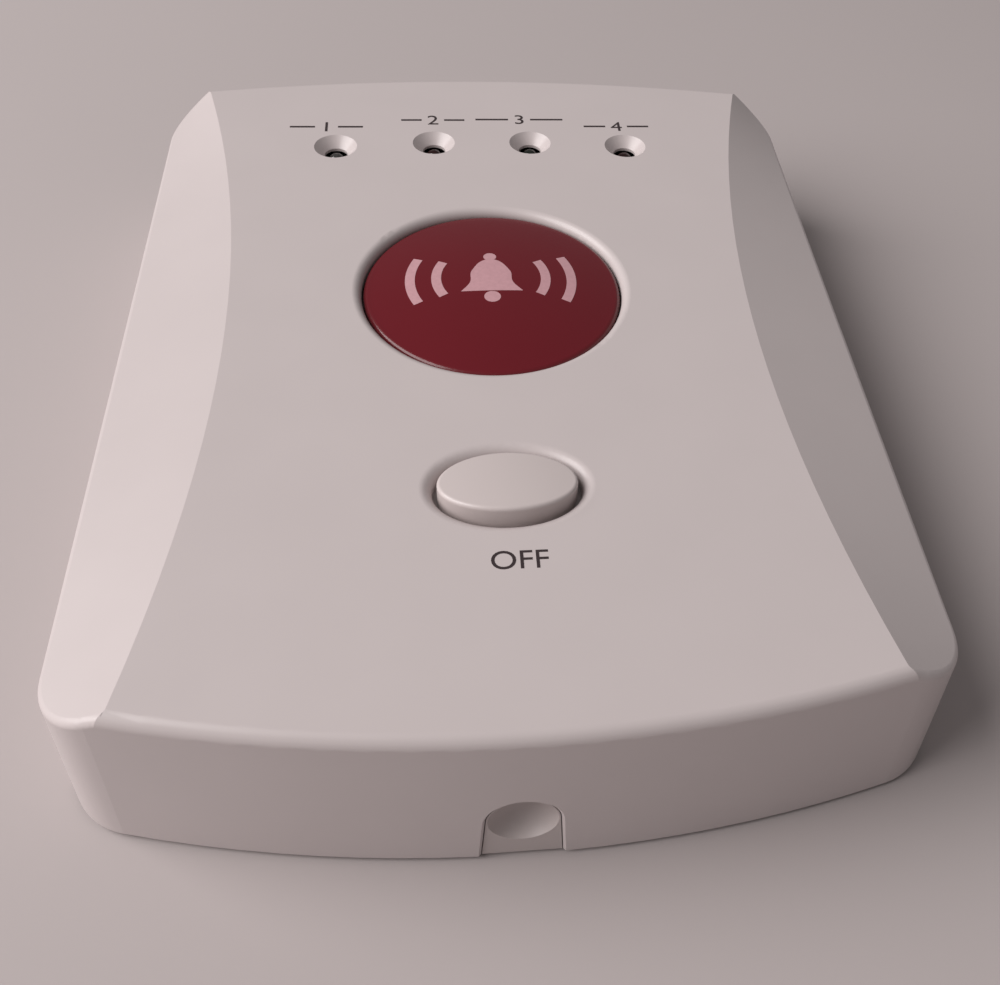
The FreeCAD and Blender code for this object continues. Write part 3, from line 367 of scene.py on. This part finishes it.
def board_finish():
    material, tree, shader = start_material("board_green")
    coordinates = add(tree, "TexCoord").outputs["Object"]
    tracks = add(
        tree, "TexBrick",
        {"Vector": coordinates, "Scale": 1 / TRACK_PITCH, "Mortar Size": 0.06, "Brick Width": 3.5,
         "Row Height": 0.7, "Color1": (0, 0, 0, 1), "Color2": (0.25, 0.25, 0.25, 1),
         "Mortar": (1, 1, 1, 1)},
        offset=0.37, squash=0.6, squash_frequency=3,
    )
    green = blend_colours(tree, tracks.outputs["Color"], MASK_GREEN, OVER_COPPER)
    tone = place_group(tree, tone_drift, {"Color": green, "Amount": 0.15, "Patch Size": 9.0})
    tree.links.new(tone["Color"], shader.inputs["Base Color"])
    shader.inputs["Roughness"].default_value = 0.35
    bump = add(tree, "Bump", {"Height": tracks.outputs["Color"], "Distance": COPPER_THICK})
    tree.links.new(bump.outputs["Normal"], shader.inputs["Normal"])
    return material


board_green = board_finish()

# %% Clear lamp epoxy and printed ink
EPOXY_ROUGHNESS, EPOXY_IOR, EPOXY_CLARITY = 0.06, 1.53, 0.85
INK_DRIFT_DULLS = 0.1


def lamp_finish(name, colour):
    """Tinted epoxy: light goes in, so the lens looks as dark as the hole it stands in."""
    material, tree, shader = start_material(name)
    tone = place_group(tree, tone_drift, {"Color": colour, "Amount": 0.1, "Patch Size": 1.5})
    tree.links.new(tone["Color"], shader.inputs["Base Color"])
    shader.inputs["Roughness"].default_value = EPOXY_ROUGHNESS
    shader.inputs["IOR"].default_value = EPOXY_IOR
    shader.inputs["Transmission Weight"].default_value = EPOXY_CLARITY
    return material


def ink_finish(name, colour, roughness):
    """Pad-printed ink: thin, with a slightly uneven tone."""
    material, tree, shader = start_material(name)
    tone = place_group(tree, tone_drift, {"Color": colour, "Amount": 0.25, "Patch Size": 0.6})
    tree.links.new(tone["Color"], shader.inputs["Base Color"])
    rough = calc(tree, "ADD", calc(tree, "MULTIPLY", tone["Mask"], INK_DRIFT_DULLS), roughness)
    tree.links.new(rough, shader.inputs["Roughness"])
    return material


LENS_TINTS = {
    "led_status": srgb(150, 146, 142),
    "led_power": srgb(96, 34, 34),
    "led_monitor": srgb(74, 84, 70),
    "led_alarm": srgb(96, 34, 34),
}
lens_finishes = {node: lamp_finish(node + "_lens", tint) for node, tint in LENS_TINTS.items()}
ink_dark = ink_finish("ink_dark", srgb(52, 40, 42), roughness=0.45)
ink_pale = ink_finish("ink_pale", srgb(196, 150, 156), roughness=0.35)
print("materials:", len(bpy.data.materials))

# %% [markdown]
# ## Dressing the solids
# Solids whose shape is right stay as they are and only get a finish. Each one's material
# slots are filled with the finish of its kind.

# %% Finishes on the solids
FINISH_OF = {
    "top_housing": shell_white, "bottom_housing": base_white, "rubber_feet": foot_rubber,
    "case_screws": screw_steel, "main_board": board_green, "board_screws": screw_steel,
    "sos_button": button_red, "sos_spring": spring_steel, "sos_switch": black_plastic,
    "sos_plunger": switch_nylon, "disarm_button": button_white, "disarm_spring": spring_steel,
    "disarm_switch": switch_metal, "disarm_plunger": switch_nylon, "dc_jack": black_plastic,
    "power_switch": switch_metal, "power_knob": black_plastic, "sim_holder": shield_metal,
    "sim_card": card_white, "loudspeaker": speaker_black, "speaker_gasket": gasket_foam,
    "backup_battery": battery_wrap, "microphone": shield_metal, "microphone_boot": foot_rubber,
    "cellular_module": shield_metal, "radio_receiver": board_green, "coil_antenna": antenna_brass,
    **lens_finishes,
}
for node, finish in FINISH_OF.items():
    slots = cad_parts[node].data.materials
    slots.clear()
    slots.append(finish)
print("dressed solids:", len(FINISH_OF), "of", len(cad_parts))

# %% [markdown]
# ## From a bmesh to a piece
# A bmesh is only a shape in memory. To be seen it becomes the mesh of an object, gets its
# finish, and is told which body of the construction model it rides on.

# %% Helper for new pieces
def make_piece(name, shape, body, finishes, smooth=False):
    """Turns a bmesh into a named piece that rides on a body."""
    mesh = bpy.data.meshes.new(name)
    shape.to_mesh(mesh)
    shape.free()
    for finish in finishes:
        mesh.materials.append(finish)
    if smooth:
        mesh.shade_smooth()
    piece = bpy.data.objects.new(name, mesh)
    bpy.context.scene.collection.objects.link(piece)
    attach(piece, body)
    print("%-22s %6d faces on %s" % (name, len(mesh.polygons), body))
    return piece


# %% [markdown]
# ## The upper shell
# The shell's shape is right, but its solid comes as loose triangles. Where a narrow roll
# meets a wide flat face, the normals of the roll tilt the shading of the wide face and
# leave small dark wedges. In a copy with its doubles merged, the corners of upright faces
# get level normals and the corners of level faces upright ones. The roll keeps its own
# normals between, so it still shades round, and the creases of the side facets stay crisp.

# %% Upper shell with true flat faces
NEAR_UPRIGHT = math.sin(math.radians(28))   # a normal this close to level belongs to a wall
NEAR_LEVEL = math.cos(math.radians(12))     # and one this close to upright to a level face
WALL_SLOPE, LEVEL_SLOPE = 0.02, 0.998       # height of a wall's and of a level face's normal
DOUBLES_GAP = 0.0005 * MM


def straightened(normal, on_wall, on_level):
    """The normal, set level on a wall or upright on a level face when it nearly is."""
    if on_wall and abs(normal.z) < NEAR_UPRIGHT:
        return Vector((normal.x, normal.y, 0)).normalized()
    if on_level and abs(normal.z) > NEAR_LEVEL:
        return Vector((0, 0, math.copysign(1, normal.z)))
    return normal


def with_true_flats(node, name, finish):
    """Merged copy of a solid whose walls and level faces shade flat up to their rims."""
    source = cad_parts[node].data
    shape = bmesh.new()
    shape.from_mesh(source)
    facing = shape.loops.layers.float_vector.new("facing")
    corners = [loop for face in shape.faces for loop in face.loops]
    for corner, normal in zip(corners, source.corner_normals):
        corner[facing] = normal.vector
    bmesh.ops.remove_doubles(shape, verts=shape.verts[:], dist=DOUBLES_GAP)
    for vertex in shape.verts:
        slopes = [abs(face.normal.z) for face in vertex.link_faces if face.calc_area() > 0]
        on_wall, on_level = min(slopes) < WALL_SLOPE, max(slopes) > LEVEL_SLOPE
        for corner in vertex.link_loops:
            corner[facing] = straightened(Vector(corner[facing]), on_wall, on_level)
    piece = make_piece(name, shape, "case", [finish], smooth=True)
    mesh = piece.data
    mesh.normals_split_custom_set([corner.vector for corner in mesh.attributes["facing"].data])
    mesh.attributes.remove(mesh.attributes["facing"])
    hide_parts(node)


with_true_flats("top_housing", "upper_shell", shell_white)

# %% [markdown]
# ## Turned pieces
# Feet, lamps and the speaker cone are round, so each is half a section, drawn as a line of
# points and swept full circle by the Spin operator. Merging the doubles closes the seam and
# the poles, and recalculating the normals turns every face outwards.

# %% Helper for turned pieces
SEAM_GAP = 0.002 * MM


def add_turned(shape, points, centre, steps=48):
    """Sweeps a line of (radius, height) points, in mm, round an upright axis at centre."""
    places = [(centre.x + radius * MM, centre.y, height * MM) for radius, height in points]
    line = [shape.verts.new(place) for place in places]
    links = [shape.edges.new(pair) for pair in zip(line, line[1:])]
    bmesh.ops.spin(shape, geom=line + links, cent=(centre.x, centre.y, 0), axis=(0, 0, 1),
                   angle=2 * math.pi, steps=steps, use_merge=True)
    bmesh.ops.remove_doubles(shape, verts=shape.verts[:], dist=SEAM_GAP)
    bmesh.ops.recalc_face_normals(shape, faces=shape.faces[:])


def arc_points(radius, centre, start, end, count):
    """Points of a quarter or half round in the section; angles from the outward direction."""
    across, up = centre
    angles = [math.radians(start + (end - start) * i / (count - 1)) for i in range(count)]
    return [(across + radius * math.cos(angle), up + radius * math.sin(angle)) for angle in angles]


def middle_of(node):
    low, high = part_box(node)
    return Vector((low[0] + high[0], low[1] + high[1], low[2] + high[2])) / 2


def levels_of(node):
    low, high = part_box(node)
    return low[2] / MM, high[2] / MM


# %% [markdown]
# ## Lamps
# Each lamp is tinted epoxy cast round a metal cup on two leads: a flange that stops it
# behind the panel, a barrel and a domed tip. The lens is turned from its section; the cup
# and the leads stand inside it, so they show faintly through the tip.

# %% Lamps
LENS_RADIUS, LENS_LENGTH = 1.5, 4.9
FLANGE_RADIUS, FLANGE_THICK, FLANGE_EDGE = 1.9, 1.0, 0.15
CUP = (     # radius and height over the foot of the lens
    (0, 1.4), (0.35, 1.4), (0.75, 2.2), (0.65, 2.2), (0.3, 1.7), (0, 1.7),
)
LEAD_RADIUS, LEAD_ASIDE, LEAD_INSIDE = 0.25, 1.2, 0.7
BOARD_TOP = levels_of("main_board")[1]


def lamp_section(foot, tip):
    dome = arc_points(LENS_RADIUS, (0, tip - LENS_RADIUS), 0, 90, 10)
    edge_centre = (FLANGE_RADIUS - FLANGE_EDGE, foot + FLANGE_THICK - FLANGE_EDGE)
    rim = arc_points(FLANGE_EDGE, edge_centre, 0, 90, 4)
    barrel = (LENS_RADIUS, foot + FLANGE_THICK)
    return [(0, foot), (FLANGE_RADIUS, foot), *rim, barrel, *dome[:-1], (0, tip)]


for node, finish in lens_finishes.items():
    centre, tip = middle_of(node), levels_of(node)[1]
    foot = tip - LENS_LENGTH
    lens = bmesh.new()
    add_turned(lens, lamp_section(foot, tip), centre, steps=32)
    lens_piece = make_piece(node + "_lens", lens, "case", [finish], smooth=True)
    cup = bmesh.new()
    add_turned(cup, [(radius, foot + up) for radius, up in CUP], centre, steps=20)
    end = foot + LEAD_INSIDE
    for side in (-1, 1):
        across = Vector((centre.x + side * LEAD_ASIDE * MM, centre.y, 0))
        add_turned(cup, [(0, BOARD_TOP), (LEAD_RADIUS, BOARD_TOP), (LEAD_RADIUS, end), (0, end)],
                   across, steps=10)
    make_piece(node + "_leads", cup, "case", [screw_steel])
    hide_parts(node)

# %% [markdown]
# ## Return springs
# A compression spring has a closed turn at each end, where the wire lies on itself and
# makes a flat seat, and open turns between. Spin with a step along the axis gives a helix,
# so a spring is three spins one after the other: closed, open, closed. On the real object
# it is squashed towards the board as its button goes down; here it is built at rest.

# %% Springs
STEPS_PER_TURN = 36
CLOSED_CLIMB = 1.05     # rise of a closed turn, in wires


def add_spring(shape, centre, radius, wire, low, high, turns):
    section = bmesh.ops.create_circle(shape, cap_ends=False, segments=10, radius=wire / 2)["verts"]
    upright = Matrix.Rotation(math.pi / 2, 4, "X")
    bmesh.ops.transform(shape, verts=section, matrix=upright)
    bmesh.ops.translate(shape, verts=section, vec=(centre.x + radius, centre.y, low + wire / 2))
    first = list({edge for vertex in section for edge in vertex.link_edges})
    bmesh.ops.contextual_create(shape, geom=first)
    rise = high - low - wire
    closed = CLOSED_CLIMB * wire
    ring = section + first
    for count, climb in ((1, closed), (turns - 2, rise - 2 * closed), (1, closed)):
        steps = round(STEPS_PER_TURN * count)
        turned = bmesh.ops.spin(shape, geom=ring, cent=(centre.x, centre.y, 0), axis=(0, 0, 1),
                                dvec=(0, 0, climb / steps), angle=2 * math.pi * count, steps=steps)
        ring = [part for part in turned["geom_last"] if not isinstance(part, bmesh.types.BMFace)]
    last = [part for part in ring if isinstance(part, bmesh.types.BMEdge)]
    bmesh.ops.contextual_create(shape, geom=last)
    bmesh.ops.recalc_face_normals(shape, faces=shape.faces[:])


SPRINGS = (     # solid, button, joint, coil radius, wire, turns, travel
    ("sos_spring", "sos_button", "sos_press", 9.6, 0.8, 5, 1.5),
    ("disarm_spring", "disarm_button", "disarm_press", 3.95, 0.45, 7, 1.2),
)
for node, button, joint, coil_radius, wire, turns, travel in SPRINGS:
    low, high = levels_of(node)
    centre = middle_of(button)
    spring = bmesh.new()
    add_spring(spring, centre, coil_radius * MM, wire * MM, low * MM, high * MM, turns)
    spring_piece = make_piece(
        node + "_wire", spring, "case", [spring_steel], smooth=True
    )
    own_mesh(spring_piece)
    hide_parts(node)

# %% [markdown]
# ## Rubber feet
# Each foot is a moulded rubber disc, pressed into its seat. Its lower edge is rounded and
# its middle is hollowed a little, so that it grips the table with a ring.

# %% Feet
FOOT_RADIUS, FOOT_THICK = 5.0, 2.0
HOLLOW_RADIUS, HOLLOW_DEPTH = 3.0, 0.35
GRIP_EDGE, TOP_EDGE = 0.7, 0.15     # roundings of the gripping ring and of the top
foot_low, foot_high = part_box("rubber_feet")
feet = bmesh.new()
foot_section = (
    [(0, HOLLOW_DEPTH), (2.6, HOLLOW_DEPTH)]
    + arc_points(HOLLOW_DEPTH, (HOLLOW_RADIUS, HOLLOW_DEPTH), 180, 270, 4)
    + arc_points(GRIP_EDGE, (FOOT_RADIUS - GRIP_EDGE, GRIP_EDGE), 270, 360, 6)
    + arc_points(TOP_EDGE, (FOOT_RADIUS - TOP_EDGE, FOOT_THICK - TOP_EDGE), 0, 90, 3)
    + [(0, FOOT_THICK)]
)
for x in (foot_low[0] + FOOT_RADIUS * MM, foot_high[0] - FOOT_RADIUS * MM):
    for y in (foot_low[1] + FOOT_RADIUS * MM, foot_high[1] - FOOT_RADIUS * MM):
        add_turned(feet, foot_section, Vector((x, y, 0)), steps=48)
feet_piece = make_piece("gripping_feet", feet, "case", [foot_rubber], smooth=True)
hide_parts("rubber_feet")

# %% [markdown]
# ## Speaker cone
# Through the slots of the base one sees the paper cone with its rolled surround and its
# dust cap. It is a thin shell turned from its section, hung in the hollow of the basket.

# %% Speaker cone
CONE_THICK = 0.25
SURROUND_RADIUS, CAP_RADIUS = 0.9, 7.0
speaker_middle = middle_of("loudspeaker")
rim_level = levels_of("loudspeaker")[0]
cone_front = (
    [(15.0, rim_level + 0.5)]
    + arc_points(SURROUND_RADIUS, (13.9, rim_level + 0.6), 0, 180, 9)[1:-1]
    + [(13.0, rim_level + 0.6), (5.2, rim_level + 2.3)]
    + arc_points(CAP_RADIUS, (0, rim_level - 3.3), 46, 90, 8)
)
cone_back = [(radius, height + CONE_THICK) for radius, height in reversed(cone_front)]
cone = bmesh.new()
add_turned(cone, cone_front + cone_back + [cone_front[0]], speaker_middle, steps=64)
make_piece("speaker_cone", cone, "case", [cone_paper], smooth=True)

# %% [markdown]
# ## Supply socket
# The plug's sleeve slides over a plated pin, and a leaf spring inside the bore presses on
# it. Both are metal in a black block, so they are pieces of their own.

# %% Plated pin and contact leaf
socket_low, socket_high = (Vector(corner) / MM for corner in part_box("dc_jack"))
pin_level = (socket_low.z + socket_high.z) / 2
pin_x = (socket_low.x + socket_high.x) / 2
PIN_SUNK = 1.6                          # tip of the pin behind the mouth
PIN_RADIUS, SKIN_RADIUS = 0.95, 1.0     # the solid pin and its plating
SKIN_LENGTH, LEAF_SIZE, LEAF_EDGE = 7.9, (1.6, 6.0, 0.25), 0.08
LEAF_BACK, LEAF_BELOW = 3.6, 2.72       # middle of the leaf from the tip and from the axis
pin_tip = socket_high.y - PIN_SUNK


def lay_along_y(shape, place):
    """Turns a shape made upright at the origin so that its top points to the rear."""
    bmesh.ops.transform(shape, verts=shape.verts[:], matrix=Matrix.Rotation(-math.pi / 2, 4, "X"))
    bmesh.ops.translate(shape, verts=shape.verts[:], vec=Vector(place) * MM)


pin_skin = bmesh.new()
skin_section = [
    (PIN_RADIUS, 0), (SKIN_RADIUS, 0), (SKIN_RADIUS, 7.6), *arc_points(0.3, (0.7, 7.65), 0, 90, 4),
    (0, 7.95), (0, 7.91), (PIN_RADIUS, 7.91), (PIN_RADIUS, 0),
]
add_turned(pin_skin, skin_section, Vector((0, 0, 0)), steps=28)
lay_along_y(pin_skin, (pin_x, pin_tip - SKIN_LENGTH, pin_level))
make_piece("pin_plating", pin_skin, "case", [screw_steel])


def add_block(shape, middle, size, soft):
    """Block with softened edges; all measures in mm."""
    stretch = Matrix.Diagonal((*(side * MM for side in size), 1))
    place = Matrix.Translation(Vector(middle) * MM) @ stretch
    corners = bmesh.ops.create_cube(shape, size=1.0, matrix=place)["verts"]
    edges = list({edge for vertex in corners for edge in vertex.link_edges})
    bmesh.ops.bevel(shape, geom=edges, offset=soft * MM, offset_type="OFFSET", affect="EDGES",
                    segments=2, profile=0.5, material=-1)


leaf = bmesh.new()
add_block(leaf, (pin_x, pin_tip - LEAF_BACK, pin_level - LEAF_BELOW), LEAF_SIZE, LEAF_EDGE)
make_piece("contact_leaf", leaf, "case", [screw_steel])

# %% [markdown]
# ## Parts on the board
# The free places of the board carry three chips, two rows of small parts and two
# capacitors. Each is a block with softened edges or a turned can, and the legs of the chips
# and the end caps of the small parts are pieces of metal, as on a real board.

# %% Chips
CHIPS = (     # x, y, width, length, height, legs on a side
    (-24.0, 2.5, 10.0, 10.0, 1.3, 8),
    (27.5, 20.5, 7.0, 5.0, 1.4, 4),
    (-27.0, 24.0, 8.0, 5.0, 1.5, 5),
)
CHIP_LIFT, CHIP_EDGE = 0.1, 0.15
LEG_SIZE, LEG_EDGE, LEG_PITCH, LEG_OUT = (0.9, 0.4, 0.35), 0.05, 1.0, 0.35


def stand_block(shape, x, y, low, size, soft):
    """Block standing at a level, such as the top of the board."""
    add_block(shape, (x, y, low + size[2] / 2), size, soft)


chips, legs = bmesh.new(), bmesh.new()
for x, y, width, length, height, count in CHIPS:
    stand_block(chips, x, y, BOARD_TOP + CHIP_LIFT, (width, length, height), CHIP_EDGE)
    for side in (-1, 1):
        beside = x + side * (width / 2 + LEG_OUT)
        for number in range(count):
            along = y + (number - (count - 1) / 2) * LEG_PITCH
            stand_block(legs, beside, along, BOARD_TOP, LEG_SIZE, LEG_EDGE)
make_piece("board_chips", chips, "case", [black_plastic])
make_piece("chip_legs", legs, "case", [switch_metal])

# %% Small parts
STAGGERED_ROW = [(-35.0 + 2.6 * number, -12.5 + 1.5 * (number % 3)) for number in range(8)]
STRAIGHT_ROW = [(16.0 + 2.4 * number, 40.0) for number in range(6)]
BODY_SIZE, END_SIZE, END_ASIDE, PART_EDGE = (1.0, 1.2, 0.7), (1.02, 0.3, 0.72), 0.75, 0.06
passives, caps = bmesh.new(), bmesh.new()
for x, y in STAGGERED_ROW + STRAIGHT_ROW:
    stand_block(passives, x, y, BOARD_TOP, BODY_SIZE, PART_EDGE)
    for side in (-1, 1):
        stand_block(caps, x, y + side * END_ASIDE, BOARD_TOP, END_SIZE, PART_EDGE)
make_piece("small_parts", passives, "case", [card_white])
make_piece("small_part_ends", caps, "case", [screw_steel])

# %% Capacitors
CAN_PLACES = ((-33.0, 52.0), (-33.0, 45.0))
CAN_RADIUS, CAN_SHOULDER, CAN_EDGE, CAN_HEIGHT = 2.9, 5.6, 0.25, 5.75
can_top = BOARD_TOP + CAN_HEIGHT
can_section = [
    (0, BOARD_TOP), (CAN_RADIUS, BOARD_TOP),
    *arc_points(CAN_EDGE, (2.75, BOARD_TOP + CAN_SHOULDER), 0, 90, 4),
    (2.3, can_top), (0, can_top),
]
cans = bmesh.new()
for x, y in CAN_PLACES:
    add_turned(cans, can_section, Vector((x, y, 0)) * MM, steps=32)
make_piece("capacitor_cans", cans, "case", [shield_metal])

# %% [markdown]
# ## Marks
# The real object is printed with ink a few hundredths of a millimetre thick. A mark is
# drawn flat, cut along a fine grid so that it can bend, dropped onto the surface below it
# and given a thickness. A ray cast straight down finds the surface.

# %% Helpers for marks
INK_THICKNESS = 0.03 * MM
GRID_PITCH = 0.8 * MM
RAY_START = 5 * MM     # above the highest point


def surface_below(node):
    """Search tree of a solid, for finding the height of its surface."""
    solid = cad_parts[node].data
    places = [vertex.co for vertex in solid.vertices]
    return BVHTree.FromPolygons(places, [face.vertices for face in solid.polygons])


def cut_along_grid(sheet, lowest, highest):
    """Cuts a flat sheet along X and Y, so that it can follow a curved surface."""
    for axis in range(2):
        direction = Vector((1, 0, 0)) if axis == 0 else Vector((0, 1, 0))
        steps = int((highest[axis] - lowest[axis]) / GRID_PITCH) + 1
        for step in range(1, steps):
            point = direction * (lowest[axis] + step * GRID_PITCH)
            geometry = sheet.verts[:] + sheet.edges[:] + sheet.faces[:]
            bmesh.ops.bisect_plane(sheet, geom=geometry, plane_co=point, plane_no=direction)


def lay_ink(name, sheet, node, body, ink):
    """Drops the sheet onto the solid, thickens it and makes it a piece of the body."""
    corners = [v.co for v in sheet.verts]
    lowest = [min(c[axis] for c in corners) for axis in range(2)]
    highest = [max(c[axis] for c in corners) for axis in range(2)]
    cut_along_grid(sheet, lowest, highest)
    ground = surface_below(node)
    above = cad_box[1].z + RAY_START
    for vertex in sheet.verts:
        hit = ground.ray_cast(Vector((vertex.co.x, vertex.co.y, above)), Vector((0, 0, -1)))[0]
        vertex.co.z = hit.z
    skin = bmesh.ops.extrude_face_region(sheet, geom=sheet.faces[:])
    raised = [part for part in skin["geom"] if isinstance(part, bmesh.types.BMVert)]
    bmesh.ops.translate(sheet, verts=raised, vec=(0, 0, INK_THICKNESS))
    bmesh.ops.recalc_face_normals(sheet, faces=sheet.faces[:])
    return make_piece(name, sheet, body, [ink])


def flat_text(words, height, centre):
    """The words as a flat sheet, capitals of that height, centred on a point."""
    curve = bpy.data.curves.new("words", "FONT")
    curve.body = words
    curve.resolution_u = 5
    holder = bpy.data.objects.new("words", curve)
    mesh = bpy.data.meshes.new_from_object(holder)
    bpy.data.objects.remove(holder)
    sheet = bmesh.new()
    sheet.from_mesh(mesh)
    bpy.data.meshes.remove(mesh)
    lows = [min(v.co[axis] for v in sheet.verts) for axis in range(2)]
    highs = [max(v.co[axis] for v in sheet.verts) for axis in range(2)]
    scale = height / (highs[1] - lows[1])
    middle = Vector(((lows[0] + highs[0]) / 2, (lows[1] + highs[1]) / 2, 0))
    bmesh.ops.translate(sheet, verts=sheet.verts[:], vec=-middle)
    bmesh.ops.scale(sheet, verts=sheet.verts[:], vec=(scale, scale, 1))
    bmesh.ops.translate(sheet, verts=sheet.verts[:], vec=(centre[0], centre[1], 0))
    return sheet


def add_bar(sheet, centre, width, height):
    """A flat rectangle in the same sheet."""
    place = Matrix.Translation((centre[0], centre[1], 0)) @ Matrix.Diagonal((width, height, 1, 1))
    bmesh.ops.create_grid(sheet, x_segments=1, y_segments=1, size=0.5, matrix=place)


# %% Lamp numbers and the OFF mark
LAMP_MARKS = {     # x, y and whole width in mm
    "1": (-27.1, 54.6, 12.6),
    "2": (-8.5, 56.9, 11.2),
    "3": (6.95, 57.1, 15.7),
    "4": (24.4, 54.8, 11.8),
}
NUMBER_HEIGHT, OFF_HEIGHT = 3.0 * MM, 2.95 * MM
OFF_PLACE = (0.8 * MM, -46.2 * MM)
DASH_START, DASH_THICK = 2.0 * MM, 0.5 * MM
for figure, (x, y, width) in LAMP_MARKS.items():
    mark = flat_text(figure, NUMBER_HEIGHT, (x * MM, y * MM))
    dash = width / 2 * MM - DASH_START
    for side in (-1, 1):
        add_bar(mark, (x * MM + side * (DASH_START + dash / 2), y * MM), dash, DASH_THICK)
    lay_ink("lamp_mark_" + figure, mark, "top_housing", "case", ink_dark)
off_mark = flat_text("OFF", OFF_HEIGHT, OFF_PLACE)
lay_ink("off_mark", off_mark, "top_housing", "case", ink_dark)

# %% [markdown]
# ## A bell on the call button
# The big button says what it does with a picture that needs no words: a ringing bell. The
# bell is a flat filled curve, which needs only seven points, because a curve's handles
# round it off. The sound arcs are a short edge swept round the bell with the Spin operator.

# %% Bell with sound arcs
BELL_PLACE = Vector((-0.2, 9.9, 0)) * MM
LOOP_LEVEL, LOOP_RADIUS = 5.2 * MM, 1.0 * MM
CLAPPER_LEVEL, CLAPPER_RADIUS = -4.9 * MM, 1.25 * MM
SOUND_ARCS = ((8.4, 0.52), (12.4, 0.46))     # radius in mm and half the spread in radians
SOUND_STROKE, ARC_STEPS = 1.5 * MM, 18
BELL_OUTLINE = (
    (-4.7, -3.5, "VECTOR"), (4.7, -3.5, "VECTOR"), (3.3, -1.4, "AUTO"), (2.9, 1.6, "AUTO"),
    (0.0, 4.5, "AUTO"), (-2.9, 1.6, "AUTO"), (-3.3, -1.4, "AUTO"),
)


def flat_shape(outline):
    """A closed curve through the points, filled and made a flat sheet."""
    curve = bpy.data.curves.new("outline", "CURVE")
    curve.dimensions = "2D"
    curve.fill_mode = "BOTH"
    spline = curve.splines.new("BEZIER")
    spline.use_cyclic_u = True
    spline.bezier_points.add(len(outline) - 1)
    for point, (x, y, handle) in zip(spline.bezier_points, outline):
        point.co = (x * MM, y * MM, 0)
        point.handle_left_type = point.handle_right_type = handle
    holder = bpy.data.objects.new("outline", curve)
    mesh = bpy.data.meshes.new_from_object(holder)
    bpy.data.objects.remove(holder)
    sheet = bmesh.new()
    sheet.from_mesh(mesh)
    bpy.data.meshes.remove(mesh)
    return sheet


def add_disc(sheet, centre, radius):
    place = Matrix.Translation((centre[0], centre[1], 0))
    bmesh.ops.create_circle(sheet, cap_ends=True, segments=32, radius=radius, matrix=place)


def add_arc(sheet, radius, stroke, middle, spread):
    """Band of one stroke round the origin, swept from middle - spread to middle + spread."""
    start = Vector((math.cos(middle - spread), math.sin(middle - spread), 0))
    ends = [sheet.verts.new(start * (radius + side * stroke / 2)) for side in (-1, 1)]
    edge = sheet.edges.new(ends)
    bmesh.ops.spin(sheet, geom=ends + [edge], cent=(0, 0, 0), axis=(0, 0, 1),
                   angle=2 * spread, steps=ARC_STEPS)


bell = flat_shape(BELL_OUTLINE)
add_disc(bell, (0, LOOP_LEVEL), LOOP_RADIUS)
add_disc(bell, (0, CLAPPER_LEVEL), CLAPPER_RADIUS)
for side_angle in (0.0, math.pi):
    for arc_radius, spread in SOUND_ARCS:
        add_arc(bell, arc_radius * MM, SOUND_STROKE, side_angle, spread)
bmesh.ops.translate(bell, verts=bell.verts[:], vec=BELL_PLACE)
lay_ink("bell_mark", bell, "sos_button", "sos_button", ink_pale)

# %% [markdown]
# ## Floor and light
# A plain pale floor keeps the shadow. One soft lamp from the left gives the panel its tone
# and lets the right-hand side fall into shade; the world fills the shadows evenly.

# %% Floor
FLOOR_HALF, FLOOR_TONE, FLOOR_ROUGHNESS = 3.0, srgb(181, 171, 170), 0.85
floor_shape = bmesh.new()
bmesh.ops.create_grid(floor_shape, x_segments=1, y_segments=1, size=FLOOR_HALF)
floor_mesh = bpy.data.meshes.new("floor")
floor_shape.to_mesh(floor_mesh)
floor_shape.free()
floor = bpy.data.objects.new("floor", floor_mesh)
bpy.context.scene.collection.objects.link(floor)
floor_paint, floor_tree, floor_shader = start_material("floor_paint")
floor_drift = {"Color": FLOOR_TONE, "Amount": 0.03, "Patch Size": 60.0}
floor_tone = place_group(floor_tree, tone_drift, floor_drift)
floor_tree.links.new(floor_tone["Color"], floor_shader.inputs["Base Color"])
floor_shader.inputs["Roughness"].default_value = FLOOR_ROUGHNESS
floor_mesh.materials.append(floor_paint)

# %% Light
LAMP_PLACE, LAMP_SIZE, LAMP_WATTS = (-0.95, -0.06, 0.80), 1.3, 21.5
LAMP_COLOUR, SKY_COLOUR, SKY_STRENGTH = (1.0, 0.98, 0.975), (0.92, 0.9, 0.9, 1.0), 0.24


def soft_lamp(name, place, aim, size, watts, colour):
    lamp_data = bpy.data.lights.new(name, "AREA")
    lamp_data.shape = "DISK"
    lamp_data.size = size
    lamp_data.energy = watts
    lamp_data.color = colour
    lamp = bpy.data.objects.new(name, lamp_data)
    direction = Vector(aim) - Vector(place)
    turn = direction.to_track_quat("-Z", "Y").to_matrix().to_4x4()
    lamp.matrix_world = Matrix.Translation(place) @ turn
    bpy.context.scene.collection.objects.link(lamp)


soft_lamp("key_lamp", LAMP_PLACE, (0, 0, 0), LAMP_SIZE, LAMP_WATTS, LAMP_COLOUR)
world = bpy.data.worlds.new("world")
world.use_nodes = True
sky = world.node_tree.nodes["Background"]
sky.inputs["Color"].default_value = SKY_COLOUR
sky.inputs["Strength"].default_value = SKY_STRENGTH
bpy.context.scene.world = world
